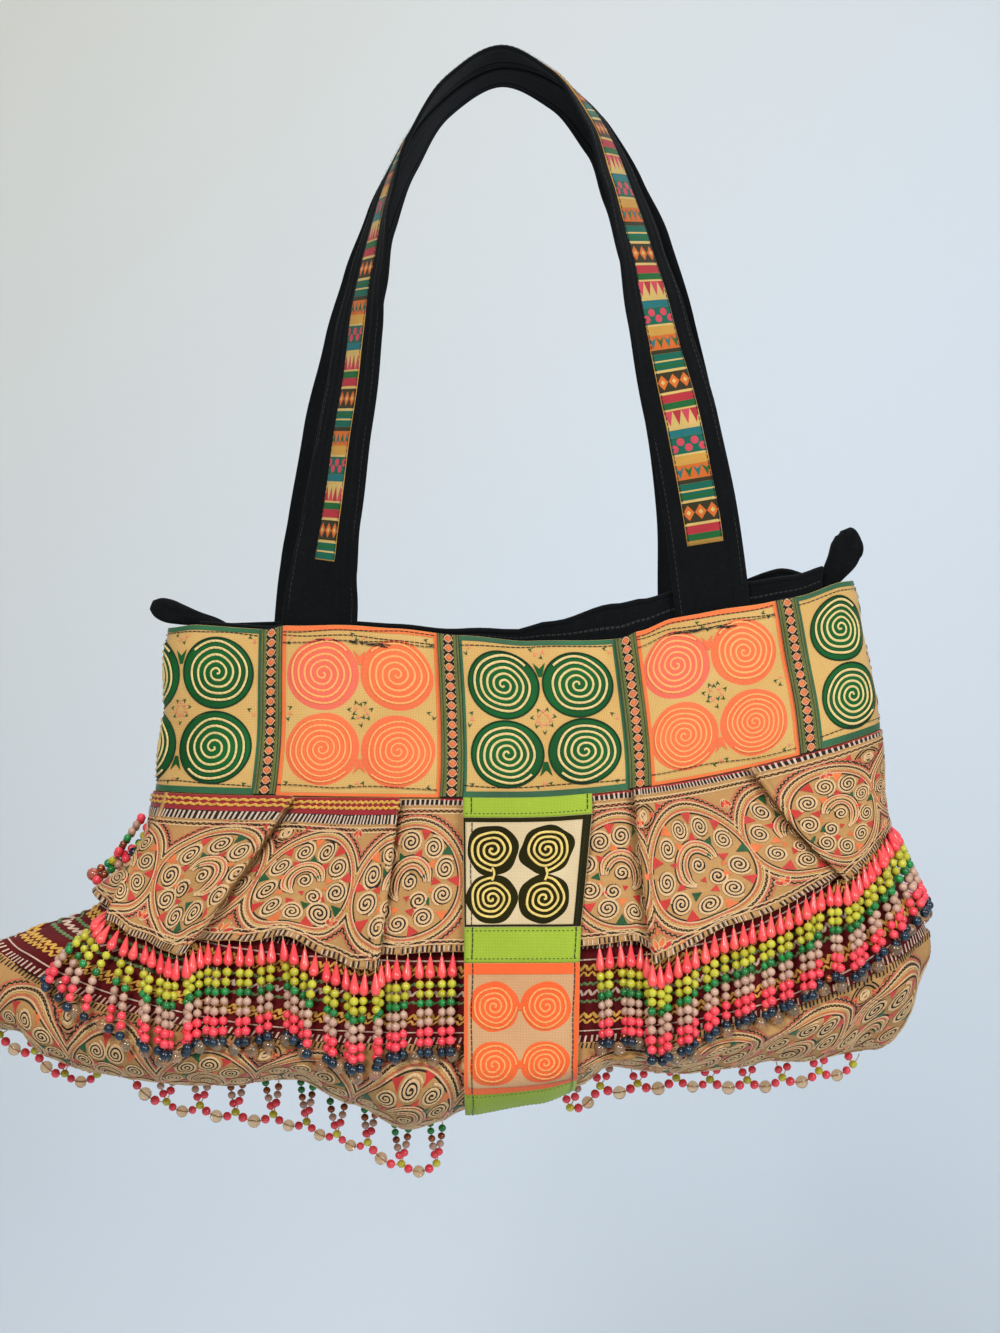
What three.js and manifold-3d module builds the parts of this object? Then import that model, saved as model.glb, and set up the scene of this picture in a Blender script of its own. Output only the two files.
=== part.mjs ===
// A soft patchwork tote bag with a pleated body, a bead fringe and two long straps.
// Millimetres, +Z up, the front faces -Y. The origin is where the bag hangs by its straps:
// the underside of their highest point, midway between the two straps.
import * as THREE from "three";
import { mergeVertices } from "three/addons/utils/BufferGeometryUtils.js";
import Module from "manifold-3d";

const wasm = await Module();
wasm.setup();

// ---------------------------------------------------------------- driving sizes
const GAP = 0.4; // between sewn pieces
const CLOTH = 2.0; // body and yoke walls
const FACING = 1.5; // black cloth inside the mouth
const FACING_IN = 8.4; // facing's outer face, in from the yoke's outer face
const FACING_DEPTH = 0.5; // how far down the yoke the facing reaches, as a share of its height
const PATCHES = 8; // spiral patches round the yoke
const FIRST_STRIP = 77; // from the left end of the yoke to the first ribbon, along the cloth
const FRONT_PITCH = 100.5; // from ribbon to ribbon on the front
const LAST_STRIP_IN = 5.5; // the last ribbon on the front stands this much closer to its neighbour
const STRIP_WIDTH = 11;
const STRAP_WIDTH = 42;
const STRAP_THICK = 2.2;
const STRAP_IN = 5.3; // strap's middle, in from the yoke's outer face
const TRIM_WIDTHS = { left: 12.5, right: 20.5 }; // the printed ribbon's showing width at its two ends
const TRIM_THICK = 1.3;
const TRIM_GAP = 0.6; // the trim's underside, off the strap
const FLOUNCE = 4; // the tier's hem stands this far out from the body
const BRAID_IN = 3.2; // the ribbon band starts this far in, under the hem
const FOLD_STEP = 6; // a pleat drops to the layer below within this width

// ---------------------------------------------------------------- the bag's sections
// Each row is a loop round the bag. left and right are its ends in x, front and back its depth in y at the
// middle, side the ends' y. zLeft, zFront, zRight and zBack are the loop's heights, droop says how late the
// height rises towards the ends, and round is the loop's squareness (2 is an ellipse).
const SECTIONS = [
  { at: "yoke_top", left: -189, right: 201, front: -42, back: 30, side: -4, zLeft: -318, zFront: -326, zRight: -291, zBack: -322, droop: 1.7, round: 2.3 },
  { at: "yoke_hem", left: -196, right: 216, front: -55, back: 38, side: -6, zLeft: -410, zFront: -412, zRight: -375, zBack: -400, droop: 1.7, round: 2.3 },
  { at: "tier_hem", left: -227, right: 216, front: -80, back: 50, side: -8, zLeft: -469, zFront: -496, zRight: -428, zBack: -482, droop: 3.2, round: 2.3 },
  { at: "braid_hem", left: -287, right: 242, front: -90, back: 60, side: -10, zLeft: -494, zFront: -541, zRight: -487, zBack: -530, droop: 3.0, round: 2.2 },
  { at: "belly", left: -297, right: 240, front: -90, back: 62, side: -10, zLeft: -524, zFront: -562, zRight: -514, zBack: -550, droop: 2.6, round: 2.2 },
  { at: "turn", left: -293, right: 220, front: -66, back: 46, side: -10, zLeft: -544, zFront: -580, zRight: -554, zBack: -572, droop: 2.4, round: 2.2 },
  { at: "seam", left: -287, right: 204, front: -11, back: -9, side: -10, zLeft: -548, zFront: -590, zRight: -564, zBack: -590, droop: 2.2, round: 2.0 },
];
const V = Object.fromEntries(SECTIONS.map((s, i) => [s.at, i]));

// The front's pleats. xTop and xHem place the fold's edge at the yoke and at the hem, lie is the way its edge
// faces (1 is +X), riseTop and riseHem how far it stands off the layer below, spread how wide the lobe behind it is.
const PLEATS = [
  { name: "lobe_left", xTop: -186, xHem: -208, lie: -1, riseTop: 0.5, riseHem: 8, spread: 50 },
  { name: "left_outer", xTop: -114, xHem: -164, lie: 1, riseTop: 3, riseHem: 11, spread: 46 },
  { name: "left_inner", xTop: -56, xHem: -65, lie: 1, riseTop: 3, riseHem: 9, spread: 40 },
  { name: "right_inner", xTop: 74, xHem: 81, lie: -1, riseTop: 3, riseHem: 9, spread: 44 },
  { name: "right_outer", xTop: 138, xHem: 186, lie: -1, riseTop: 4, riseHem: 5, spread: 34 },
];
const HEM_DIP = 0.95; // the hem drops by this share of a pleat's rise
// How far the front's hem hangs below its plain line (above it, under 0), at places along x. It swells out where it hangs.
const HEM_SAG = [
  { x: -236, down: 0 },
  { x: -216, down: 2 },
  { x: -205, down: 4 },
  { x: -193, down: 9 },
  { x: -180, down: 9.5 },
  { x: -171, down: 8 },
  { x: -160, down: 2 },
  { x: -140, down: -2 },
  { x: -115, down: -7.5 },
  { x: -90, down: 0 },
  { x: -76, down: 4 },
  { x: -60, down: -1 },
  { x: -40, down: -3 },
  { x: 0, down: -2 },
  { x: 45, down: -5.5 },
  { x: 72, down: -6 },
  { x: 82, down: 0 },
  { x: 100, down: -1 },
  { x: 123, down: -4 },
  { x: 163, down: -2 },
  { x: 192, down: 1.5 },
  { x: 215, down: 0 },
];
const SAG_OUT = 0.6;
const SIDE_WAIST = 7; // the left end draws in this far, halfway down the tier
const SIDE_TUCK = { depth: 11, width: 14 }; // the side seams fold in under the tier

// How far the bag's bottom hangs below its plain form (down) at places along x, front and back alike.
const BOTTOM = [
  { x: -300, down: -4 },
  { x: -284, down: -6 },
  { x: -263, down: -12 },
  { x: -248, down: -5.5 },
  { x: -230, down: -1 },
  { x: -190, down: -5 },
  { x: -152, down: -9 },
  { x: -110, down: -17 },
  { x: -80, down: -4 },
  { x: -50, down: 8 },
  { x: -34, down: 5 },
  { x: -19, down: -2 },
  { x: 20, down: -8 },
  { x: 44, down: -14 },
  { x: 59, down: -21 },
  { x: 82, down: -18 },
  { x: 106, down: -16 },
  { x: 141, down: -15 },
  { x: 171, down: -9 },
  { x: 197, down: -7 },
  { x: 224, down: -4 },
  { x: 250, down: 0 },
];
// How far the front's top edge is pulled up, at places along x.
const FRONT_RIM = [
  { x: -190, up: 0 },
  { x: -169, up: 2.8 },
  { x: -130, up: 2.4 },
  { x: -118, up: 5.2 },
  { x: -84, up: 6.9 },
  { x: -58, up: 6 },
  { x: -20, up: 3 },
  { x: 18, up: 0 },
  { x: 67, up: -3 },
  { x: 77, up: -0.5 },
  { x: 96, up: 3.5 },
  { x: 119, up: 3.3 },
  { x: 152, up: 1 },
  { x: 170, up: 0 },
  { x: 190, up: 1.5 },
  { x: 202, up: 0 },
];
// How far the back's top edge is pulled up by its strap, at places along x.
const BACK_RIM = [
  { x: -190, up: 0 },
  { x: -110, up: 4 },
  { x: 0, up: 0 },
  { x: 70, up: 3 },
  { x: 120, up: 10 },
  { x: 160, up: 15 },
  { x: 196, up: 0 },
];
// How far the black facing stands above the front's top edge, at places along x.
const FACING_RISE = [
  { x: -190, up: 2 },
  { x: -120, up: 2 },
  { x: -40, up: 3 },
  { x: 5, up: 6 },
  { x: 28, up: 11 },
  { x: 62, up: 20 },
  { x: 95, up: 15.5 },
  { x: 140, up: 13.5 },
  { x: 175, up: 12 },
  { x: 200, up: 9 },
];
const BACK_FACING_RISE = 2;

// ---------------------------------------------------------------- curves through tables
const clamp = (x, a, b) => Math.min(b, Math.max(a, x));
const lerp = (a, b, f) => a + (b - a) * f;
const smooth = (f) => ((f = clamp(f, 0, 1)), f * f * (3 - 2 * f));
const spow = (q, p) => Math.sign(q) * Math.abs(q) ** p;

function through(rows, v, key) {
  const last = rows.length - 1;
  const i = clamp(Math.floor(v), 0, last - 1), f = v - i;
  const at = (k) => rows[clamp(k, 0, last)][key];
  const a = at(i - 1), b = at(i), c = at(i + 1), d = at(i + 2);
  const m0 = (c - a) / 2, m1 = (d - b) / 2;
  const f2 = f * f, f3 = f2 * f;
  return (2 * f3 - 3 * f2 + 1) * b + (f3 - 2 * f2 + f) * m0 + (3 * f2 - 2 * f3) * c + (f3 - f2) * m1;
}
function alongX(rows, x, key) {
  let k = 1;
  while (k < rows.length - 1 && rows[k].x < x) k++;
  const a = rows[k - 1], b = rows[k];
  return lerp(a[key], b[key], smooth((x - a.x) / (b.x - a.x)));
}
const SECTION_KEYS = Object.keys(SECTIONS[0]).filter((k) => k !== "at");
const sectionAt = (v) => Object.fromEntries(SECTION_KEYS.map((k) => [k, through(SECTIONS, v, k)]));

// A point of the bag's plain outer form: t runs from the left end (0) over the front to the right end (PI)
// and back behind, v down the sections.
function form(t, v) {
  const s = sectionAt(v), c = Math.cos(t), n = Math.sin(t), p = 2 / s.round;
  const across = spow(c, p), deep = Math.abs(n) ** p;
  const mid = (s.left + s.right) / 2, half = (s.right - s.left) / 2;
  const face = n >= 0 ? s.front : s.back, zFace = n >= 0 ? s.zFront : s.zBack;
  const waist = c > 0 ? SIDE_WAIST * across ** 6 * Math.sin(Math.PI * clamp(v - V.yoke_hem, 0, 1)) ** 2 : 0;
  const zEnd = c > 0 ? s.zLeft : s.zRight, x = mid - half * across + waist;
  const sag = alongX(BOTTOM, x, "down") * smooth((v - V.braid_hem) / 2);
  const pull = alongX(n < 0 ? BACK_RIM : FRONT_RIM, x, "up") * smooth(1 - v);
  return new THREE.Vector3(x, s.side + (face - s.side) * deep, zFace + (zEnd - zFace) * Math.abs(across) ** s.droop - sag + pull);
}
function outward(t, v) {
  const e = 0.004, f = 0.02, top = SECTIONS.length - 1;
  const side = Math.sin(t) >= 0 ? 1 : -1;
  const turn = side > 0 ? clamp(t, 2 * e, Math.PI - 2 * e) : clamp(t, Math.PI + 2 * e, 2 * Math.PI - 2 * e);
  const along = form(turn + e, v).sub(form(turn - e, v));
  const down = form(turn, Math.min(v + f, top)).sub(form(turn, Math.max(v - f, 0)));
  return down.cross(along).normalize();
}
// The angle on the front at which the loop at v passes x.
function frontAngle(x, v) {
  let a = 0.0005, b = Math.PI - 0.0005;
  for (let i = 0; i < 40; i++) {
    const m = (a + b) / 2;
    if (form(m, v).x < x) a = m;
    else b = m;
  }
  return (a + b) / 2;
}

// ---------------------------------------------------------------- pleats and soft folds
const pleatX = (f, v) => lerp(f.xTop, f.xHem, v - V.yoke_hem);
const pleatRise = (f, v) => lerp(f.riseTop, f.riseHem, smooth(v - V.yoke_hem));
function pleatShape(f, x, v) {
  const d = (x - pleatX(f, v)) * f.lie;
  if (d <= 0) return Math.max(0, 1 + d / f.spread) ** 2;
  return Math.max(0, 1 - d / FOLD_STEP);
}
// How far the tier stands off the plain form.
function tierLift(t, v) {
  const x = form(t, v).x;
  let lift = FLOUNCE * smooth(v - V.yoke_hem), dip = 0;
  if (Math.sin(t) > 0)
    for (const f of PLEATS) {
      const s = pleatShape(f, x, v) * pleatRise(f, v);
      lift = Math.max(lift, s + FLOUNCE * smooth(v - V.yoke_hem));
      dip = Math.max(dip, s * HEM_DIP * (v - V.yoke_hem));
    }
  const sag = Math.sin(t) > 0 ? alongX(HEM_SAG, x, "down") * smooth(v - V.yoke_hem) : 0;
  return { lift: lift + SAG_OUT * Math.max(sag, 0), dip: dip + sag };
}
// How far the ribbon band and the lower bag stand off it: the pleats run on as soft folds and the side seams tuck in.
function lowerLift(t, v) {
  let lift = -BRAID_IN * smooth(1 - (v - V.tier_hem));
  const fade = smooth((V.seam - v) / 3.2);
  const x = form(t, v).x;
  if (Math.sin(t) > 0)
    for (const f of PLEATS) {
      const d = (x - f.xHem + f.lie * 14) / 20;
      lift += 0.45 * f.riseHem * fade * Math.exp(-d * d);
    }
  for (const end of [0, Math.PI, 2 * Math.PI]) {
    const arc = Math.min(Math.abs(t - end) * 160, 200) / SIDE_TUCK.width;
    lift -= SIDE_TUCK.depth * fade * (end === Math.PI ? 0.35 : 1) * Math.exp(-arc * arc);
  }
  return lift;
}
function at(t, v, off, dip = 0) {
  return form(t, v).addScaledVector(outward(t, v), off).add(new THREE.Vector3(0, 0, -dip));
}

// ---------------------------------------------------------------- solids
const group = new THREE.Group();
const MATERIALS = {
  black: { color: 0x14161a, roughness: 0.9, metalness: 0 },
  green: { color: 0x0d6b45, roughness: 0.8, metalness: 0 },
  orange: { color: 0xff7a45, roughness: 0.8, metalness: 0 },
  ribbon: { color: 0x33401f, roughness: 0.8, metalness: 0 },
  beige: { color: 0xb89a70, roughness: 0.9, metalness: 0 },
  red: { color: 0x7d1a22, roughness: 0.85, metalness: 0 },
  lime: { color: 0x9bd13a, roughness: 0.85, metalness: 0 },
  olive: { color: 0x2c3319, roughness: 0.85, metalness: 0 },
  print: { color: 0xc9703a, roughness: 0.85, metalness: 0 },
  beads: { color: 0xf0505a, roughness: 0.25, metalness: 0 },
  clearBeads: { color: 0xc9a27a, roughness: 0.15, metalness: 0 },
};
for (const k of Object.keys(MATERIALS)) MATERIALS[k] = new THREE.MeshStandardMaterial(MATERIALS[k]);

function geometry(points, faces) {
  const g = new THREE.BufferGeometry();
  g.setAttribute("position", new THREE.Float32BufferAttribute(points.flatMap((p) => [p.x, p.y, p.z]), 3));
  g.setIndex(faces);
  g.computeVertexNormals();
  return g;
}
function add(name, geo, material) {
  const mesh = new THREE.Mesh(geo, MATERIALS[material]);
  mesh.name = name;
  group.add(mesh);
}
// A cloth wall between two grids of points [column][row], columns to the right seen from outside, rows down.
function wall(outer, inner) {
  const nc = outer.length, nr = outer[0].length, points = [...outer.flat(), ...inner.flat()], faces = [];
  const o = (c, r) => c * nr + r, i = (c, r) => nc * nr + c * nr + r;
  const quad = (a, b, c, d) => faces.push(a, b, c, a, c, d);
  for (let c = 0; c + 1 < nc; c++)
    for (let r = 0; r + 1 < nr; r++) {
      quad(o(c, r), o(c, r + 1), o(c + 1, r + 1), o(c + 1, r));
      quad(i(c, r), i(c + 1, r), i(c + 1, r + 1), i(c, r + 1));
    }
  for (let c = 0; c + 1 < nc; c++) {
    quad(o(c, 0), o(c + 1, 0), i(c + 1, 0), i(c, 0));
    quad(o(c, nr - 1), i(c, nr - 1), i(c + 1, nr - 1), o(c + 1, nr - 1));
  }
  for (let r = 0; r + 1 < nr; r++) {
    quad(o(0, r), i(0, r), i(0, r + 1), o(0, r + 1));
    quad(o(nc - 1, r), o(nc - 1, r + 1), i(nc - 1, r + 1), i(nc - 1, r));
  }
  return geometry(points, faces);
}
const grid = (nc, nr, fn) => Array.from({ length: nc }, (_, c) => Array.from({ length: nr }, (_, r) => fn(c, r)));
// A closed solid from rings of points, all with the same count, capped at both ends.
function rings(list) {
  const n = list[0].length, points = list.flat(), faces = [];
  for (let k = 0; k + 1 < list.length; k++)
    for (let j = 0; j < n; j++) {
      const a = k * n + j, b = k * n + ((j + 1) % n);
      faces.push(a, b, b + n, a, b + n, a + n);
    }
  for (let j = 1; j + 1 < n; j++) {
    faces.push(0, j + 1, j);
    const z = (list.length - 1) * n;
    faces.push(z, z + j, z + j + 1);
  }
  return geometry(points, faces);
}
function turnedOut(geo) {
  const p = geo.attributes.position, ix = geo.index.array;
  let volume = 0;
  const a = new THREE.Vector3(), b = new THREE.Vector3(), c = new THREE.Vector3();
  for (let k = 0; k < ix.length; k += 3) {
    a.fromBufferAttribute(p, ix[k]), b.fromBufferAttribute(p, ix[k + 1]), c.fromBufferAttribute(p, ix[k + 2]);
    volume += a.dot(b.cross(c));
  }
  if (volume < 0) for (let k = 0; k < ix.length; k += 3) [ix[k + 1], ix[k + 2]] = [ix[k + 2], ix[k + 1]];
  return geo;
}
function manifoldOf(geo) {
  const bare = new THREE.BufferGeometry().setAttribute("position", geo.attributes.position.clone());
  bare.setIndex(geo.index.clone());
  const m = mergeVertices(bare, 1e-3);
  return new wasm.Manifold(new wasm.Mesh({ numProp: 3, vertProperties: m.attributes.position.array, triVerts: new Uint32Array(m.index.array) }));
}
function fromManifold(solid) {
  const m = solid.getMesh(), g = new THREE.BufferGeometry();
  g.setAttribute("position", new THREE.BufferAttribute(new Float32Array(m.vertProperties), 3));
  g.setIndex(new THREE.BufferAttribute(new Uint32Array(m.triVerts), 1));
  g.computeVertexNormals();
  return g;
}

// ---------------------------------------------------------------- the yoke
// Its length is measured round the loop halfway down it.
const YOKE_MID = 0.5, LOOP_STEPS = 1440;
const yokeLoop = [];
{
  let length = 0, before = form(0, YOKE_MID);
  for (let k = 0; k <= LOOP_STEPS; k++) {
    const t = (k / LOOP_STEPS) * 2 * Math.PI, p = form(t, YOKE_MID);
    length += p.distanceTo(before);
    before = p;
    yokeLoop.push({ t, length });
  }
}
const YOKE_LENGTH = yokeLoop[LOOP_STEPS].length;
function yokeAngle(length) {
  const turns = Math.floor(length / YOKE_LENGTH), rest = length - turns * YOKE_LENGTH;
  let k = 1;
  while (k < LOOP_STEPS && yokeLoop[k].length < rest) k++;
  const a = yokeLoop[k - 1], b = yokeLoop[k];
  return turns * 2 * Math.PI + lerp(a.t, b.t, (rest - a.length) / (b.length - a.length));
}
const wrap = (t) => ((t % (2 * Math.PI)) + 2 * Math.PI) % (2 * Math.PI);
const FRONT_PATCHES = 3, REST_PITCH = (YOKE_LENGTH - FRONT_PATCHES * FRONT_PITCH) / (PATCHES - FRONT_PATCHES);
const stripAt = (k) => FIRST_STRIP + Math.min(k, FRONT_PATCHES) * FRONT_PITCH + Math.max(k - FRONT_PATCHES, 0) * REST_PITCH - (k === FRONT_PATCHES ? LAST_STRIP_IN : 0);
const YOKE_ROWS = 4, YOKE_HEM_V = V.yoke_hem - 0.004;
function yokePiece(from, to, columns) {
  const place = (off) =>
    grid(columns + 1, YOKE_ROWS, (c, r) => at(wrap(yokeAngle(lerp(from, to, c / columns) + 4 * YOKE_LENGTH)), (r / (YOKE_ROWS - 1)) * YOKE_HEM_V, off));
  return wall(place(0), place(-CLOTH));
}
const PATCH_NAMES = ["orange_front_left", "green_front", "orange_front_right", "green_right", "orange_back_right", "green_back", "orange_back_left", "green_left"];
PATCH_NAMES.forEach((name, k) => {
  const strip = stripAt(k), next = stripAt(k + 1), half = STRIP_WIDTH / 2;
  add("yoke_strip_" + (k + 1), yokePiece(strip - half, strip + half, 2), "ribbon");
  add("yoke_" + name, yokePiece(strip + half + GAP, next - half - GAP, /left|right/.test(name) && /green/.test(name) ? 14 : 7), name.startsWith("green") ? "green" : "orange");
});

// ---------------------------------------------------------------- the black facing inside the mouth
const FACING_END = 0.44; // angle left free at each end of the mouth, for the tabs
function facing(side) {
  const columns = 22, start = side === "front" ? 0 : Math.PI;
  const place = (off) =>
    grid(columns + 1, 4, (c, r) => {
      const t = start + lerp(FACING_END, Math.PI - FACING_END, c / columns);
      const p = at(t, r === 0 ? 0 : ((r - 1) / 2) * FACING_DEPTH, off);
      if (r === 0) p.z += side === "front" ? alongX(FACING_RISE, p.x, "up") : BACK_FACING_RISE;
      return p;
    });
  return wall(place(-FACING_IN), place(-FACING_IN - FACING));
}
add("facing_front", facing("front"), "black");
add("facing_back", facing("back"), "black");

// ---------------------------------------------------------------- cloth tabs at the ends of the mouth
// Each row is a section along the tab: its middle and its half width and half height.
const TABS = {
  end_tab_left: [
    { x: -146, y: -3, z: -325, wide: 2, high: 3 },
    { x: -160, y: -3, z: -317, wide: 3, high: 4 },
    { x: -172, y: -3, z: -313, wide: 4, high: 4.5 },
    { x: -181, y: -4, z: -310.5, wide: 4.5, high: 6 },
    { x: -188, y: -4, z: -308.5, wide: 5, high: 7 },
    { x: -194, y: -4, z: -306.5, wide: 4.5, high: 6 },
    { x: -198, y: -4, z: -305, wide: 2, high: 2.8 },
  ],
  end_tab_right: [
    { x: 176, y: -4, z: -306, wide: 2, high: 2.5 },
    { x: 183, y: -4, z: -296, wide: 3.5, high: 4.5 },
    { x: 190, y: -4, z: -286, wide: 5, high: 7 },
    { x: 195, y: -4, z: -278, wide: 6, high: 9 },
    { x: 197, y: -4, z: -271, wide: 6, high: 9 },
    { x: 197, y: -4, z: -265, wide: 5, high: 6.5 },
    { x: 196, y: -4, z: -262, wide: 2.5, high: 3 },
  ],
};
for (const [name, rows] of Object.entries(TABS)) {
  const sides = 10;
  const list = rows.map((row, k) => {
    const a = rows[Math.max(k - 1, 0)], b = rows[Math.min(k + 1, rows.length - 1)];
    const along = new THREE.Vector3(b.x - a.x, b.y - a.y, b.z - a.z).normalize();
    const deep = new THREE.Vector3(0, 1, 0), up = along.clone().cross(deep).normalize();
    return Array.from({ length: sides }, (_, j) => {
      const q = (j / sides) * 2 * Math.PI;
      return new THREE.Vector3(row.x, row.y, row.z).addScaledVector(deep, Math.cos(q) * row.wide).addScaledVector(up, Math.sin(q) * row.high);
    });
  });
  add(name, turnedOut(rings(list)), "black");
}

// ---------------------------------------------------------------- straps
// Each row is a station along a strap, from its left end over the top to its right end. turn is how far the
// strap's face has turned from the bag's front or back (0) to lie flat at the top (90).
const STRAPS = {
  front: { face: -1, leftX: -101, rightX: 119, stations: [
    { x: -97, y: -38, z: -287, turn: 24 },
    { x: -93, y: -38, z: -258, turn: 34 },
    { x: -86, y: -36, z: -206, turn: 42 },
    { x: -79, y: -33, z: -155, turn: 48 },
    { x: -74, y: -31, z: -121, turn: 58 },
    { x: -66, y: -28, z: -84, turn: 71 },
    { x: -52, y: -26, z: -47, turn: 80 },
    { x: -29, y: -26, z: -15, turn: 88 },
    { x: 0, y: -26, z: 1.2, turn: 90 },
    { x: 30, y: -26, z: -9, turn: 82 },
    { x: 53, y: -26, z: -36, turn: 68 },
    { x: 66, y: -28, z: -68, turn: 58 },
    { x: 77, y: -30, z: -105, turn: 48 },
    { x: 87, y: -33, z: -146, turn: 33 },
    { x: 101, y: -37, z: -204, turn: 12 },
    { x: 111, y: -40, z: -256, turn: 4 },
  ] },
  back: { face: 1, leftX: -110, rightX: 113, stations: [
    { x: -107, y: 25, z: -282, turn: 20 },
    { x: -104, y: 26, z: -256, turn: 30 },
    { x: -97, y: 26, z: -206, turn: 40 },
    { x: -87, y: 24, z: -155, turn: 48 },
    { x: -78, y: 21, z: -118, turn: 58 },
    { x: -68, y: 19, z: -84, turn: 70 },
    { x: -53, y: 17.5, z: -49, turn: 80 },
    { x: -30, y: 17.5, z: -17, turn: 88 },
    { x: 0, y: 17.5, z: 1.2, turn: 90 },
    { x: 32, y: 17.5, z: -10, turn: 84 },
    { x: 57, y: 18, z: -36, turn: 72 },
    { x: 71, y: 20, z: -66, turn: 60 },
    { x: 83, y: 22, z: -98, turn: 48 },
    { x: 94, y: 25, z: -142, turn: 34 },
    { x: 106, y: 27, z: -202, turn: 18 },
    { x: 112, y: 27, z: -254, turn: 8 },
  ] },
};
const STRAP_FOOT = 0.36; // how far down the yoke a strap's end is sewn in, as a share of its height
function strapLine(strap) {
  const foot = (x, v) => {
    const t = frontAngle(x, v), angle = strap.face < 0 ? t : 2 * Math.PI - t;
    const p = at(angle, v, -STRAP_IN), n = outward(angle, v);
    return { p, face: n, turn: 0 };
  };
  const rows = strap.stations.map((s) => ({ p: new THREE.Vector3(s.x, s.y, s.z), turn: s.turn }));
  return [foot(strap.leftX - 1, STRAP_FOOT), foot(strap.leftX, 0.02), ...rows, foot(strap.rightX, 0.02), foot(strap.rightX + 2, STRAP_FOOT)];
}
function strapFrames(strap, steps) {
  const line = strapLine(strap);
  const curve = new THREE.CatmullRomCurve3(line.map((s) => s.p), false, "centripetal");
  const frames = [];
  for (let k = 0; k <= steps; k++) {
    const f = k / steps, p = curve.getPoint(f), along = curve.getTangent(f);
    const q = f * (line.length - 1), i = Math.min(Math.floor(q), line.length - 2);
    const turn = THREE.MathUtils.degToRad(lerp(line[i].turn, line[i + 1].turn, smooth(q - i)));
    const out = new THREE.Vector3(-along.z, 0, along.x).normalize(); // away from the arch, in the plane of the bag
    const flat = new THREE.Vector3(0, strap.face, 0);
    const face = flat.multiplyScalar(Math.cos(turn)).addScaledVector(out, Math.sin(turn));
    if (line[i].face || line[i + 1].face) {
      const a = line[i].face ?? face, b = line[i + 1].face ?? face;
      face.copy(a.clone().lerp(b, q - i));
    }
    face.addScaledVector(along, -face.dot(along)).normalize();
    frames.push({ f, p, face, wide: face.clone().cross(along).normalize() });
  }
  return frames;
}
function ribbon(frames, outlineAt) {
  return turnedOut(rings(frames.map(({ f, p, face, wide }) => {
    const trim = lerp(TRIM_WIDTHS.left, TRIM_WIDTHS.right, smooth((f - 0.1) / 0.75));
    return outlineAt(trim / 2).map(([w, h]) => p.clone().addScaledVector(wide, w).addScaledVector(face, h));
  })));
}
const STRAP_STEPS = 44, TRIM_ENDS = [0.112, 0.915];
for (const [name, strap] of Object.entries(STRAPS)) {
  const frames = strapFrames(strap, STRAP_STEPS), half = STRAP_THICK / 2, w = STRAP_WIDTH / 2;
  const low = half + TRIM_GAP, high = low + TRIM_THICK;
  // The strap has edges under the trim's, so that the two lie alike where they twist.
  add("strap_" + name, ribbon(frames, (b) => [[-w, -half], [w, -half], [w, half], [b, half], [-b, half], [-w, half]]), "black");
  add("strap_trim_" + name, ribbon(frames.filter(({ f }) => f > TRIM_ENDS[0] && f < TRIM_ENDS[1]), (b) => [[b, low], [-b, low], [-b, high], [b, high]]), "print");
}

// ---------------------------------------------------------------- the pleated tier
// Its columns follow the pleats' edges, so each fold is one clean step.
function frontColumns(v) {
  const stops = [{ t: 0, n: 3 }];
  for (const f of PLEATS) {
    const edge = pleatX(f, v), below = edge + f.lie * FOLD_STEP;
    for (const x of f.lie < 0 ? [below, edge] : [edge, below]) stops.push({ t: Math.max(frontAngle(x, v), 0.004), n: 1 });
    stops[stops.length - 1].n = 10;
  }
  stops.push({ t: Math.PI, n: 0 });
  const list = [];
  stops.forEach((s, k) => {
    const to = stops[k + 1];
    for (let j = 0; j < s.n; j++) list.push(lerp(s.t, to.t, j / s.n));
  });
  list.push(Math.PI);
  return list;
}
const backColumns = (n) => Array.from({ length: n + 1 }, (_, k) => lerp(Math.PI, 2 * Math.PI, k / n));
// The front's and the back's walls stop short of each other at the side seams and the bottom seam.
function sewn(p, v, back) {
  const seam = through(SECTIONS, v, "side");
  p.y = back ? Math.max(p.y, seam + GAP / 2) : Math.min(p.y, seam - GAP / 2);
  return p;
}
const TIER_ROWS = 6;
function tier(columnsAt, count, back) {
  const place = (off) =>
    grid(count, TIER_ROWS, (c, r) => {
      const v = lerp(V.yoke_hem + 0.004, V.tier_hem, r / (TIER_ROWS - 1)), t = columnsAt(v)[c], { lift, dip } = tierLift(t, v);
      return sewn(at(t, v, lift + off, dip), v, back);
    });
  return wall(place(0), place(-CLOTH));
}
add("tier_front", tier(frontColumns, frontColumns(1.5).length, false), "beige");
add("tier_back", tier(() => backColumns(20), 21, true), "beige");

// ---------------------------------------------------------------- the ribbon band and the lower bag
function lower(from, to, rows, columns, back) {
  const place = (off) => grid(columns.length, rows, (c, r) => {
    const v = lerp(from, to, r / (rows - 1));
    return sewn(at(columns[c], v, lowerLift(columns[c], v) + off), v, back);
  });
  return wall(place(0), place(-CLOTH));
}
const evenFront = (n) => Array.from({ length: n + 1 }, (_, k) => lerp(0, Math.PI, k / n));
const BAND_TOP = V.tier_hem - 0.11, SEAM_STOP = V.seam;
add("braid_front", lower(BAND_TOP, V.braid_hem - 0.009, 5, evenFront(34), false), "red");
add("braid_back", lower(BAND_TOP, V.braid_hem - 0.009, 5, backColumns(20), true), "red");
add("lower_front", lower(V.braid_hem + 0.009, SEAM_STOP, 8, evenFront(34), false), "beige");
add("lower_back", lower(V.braid_hem + 0.009, SEAM_STOP, 8, backColumns(22), true), "beige");

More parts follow.
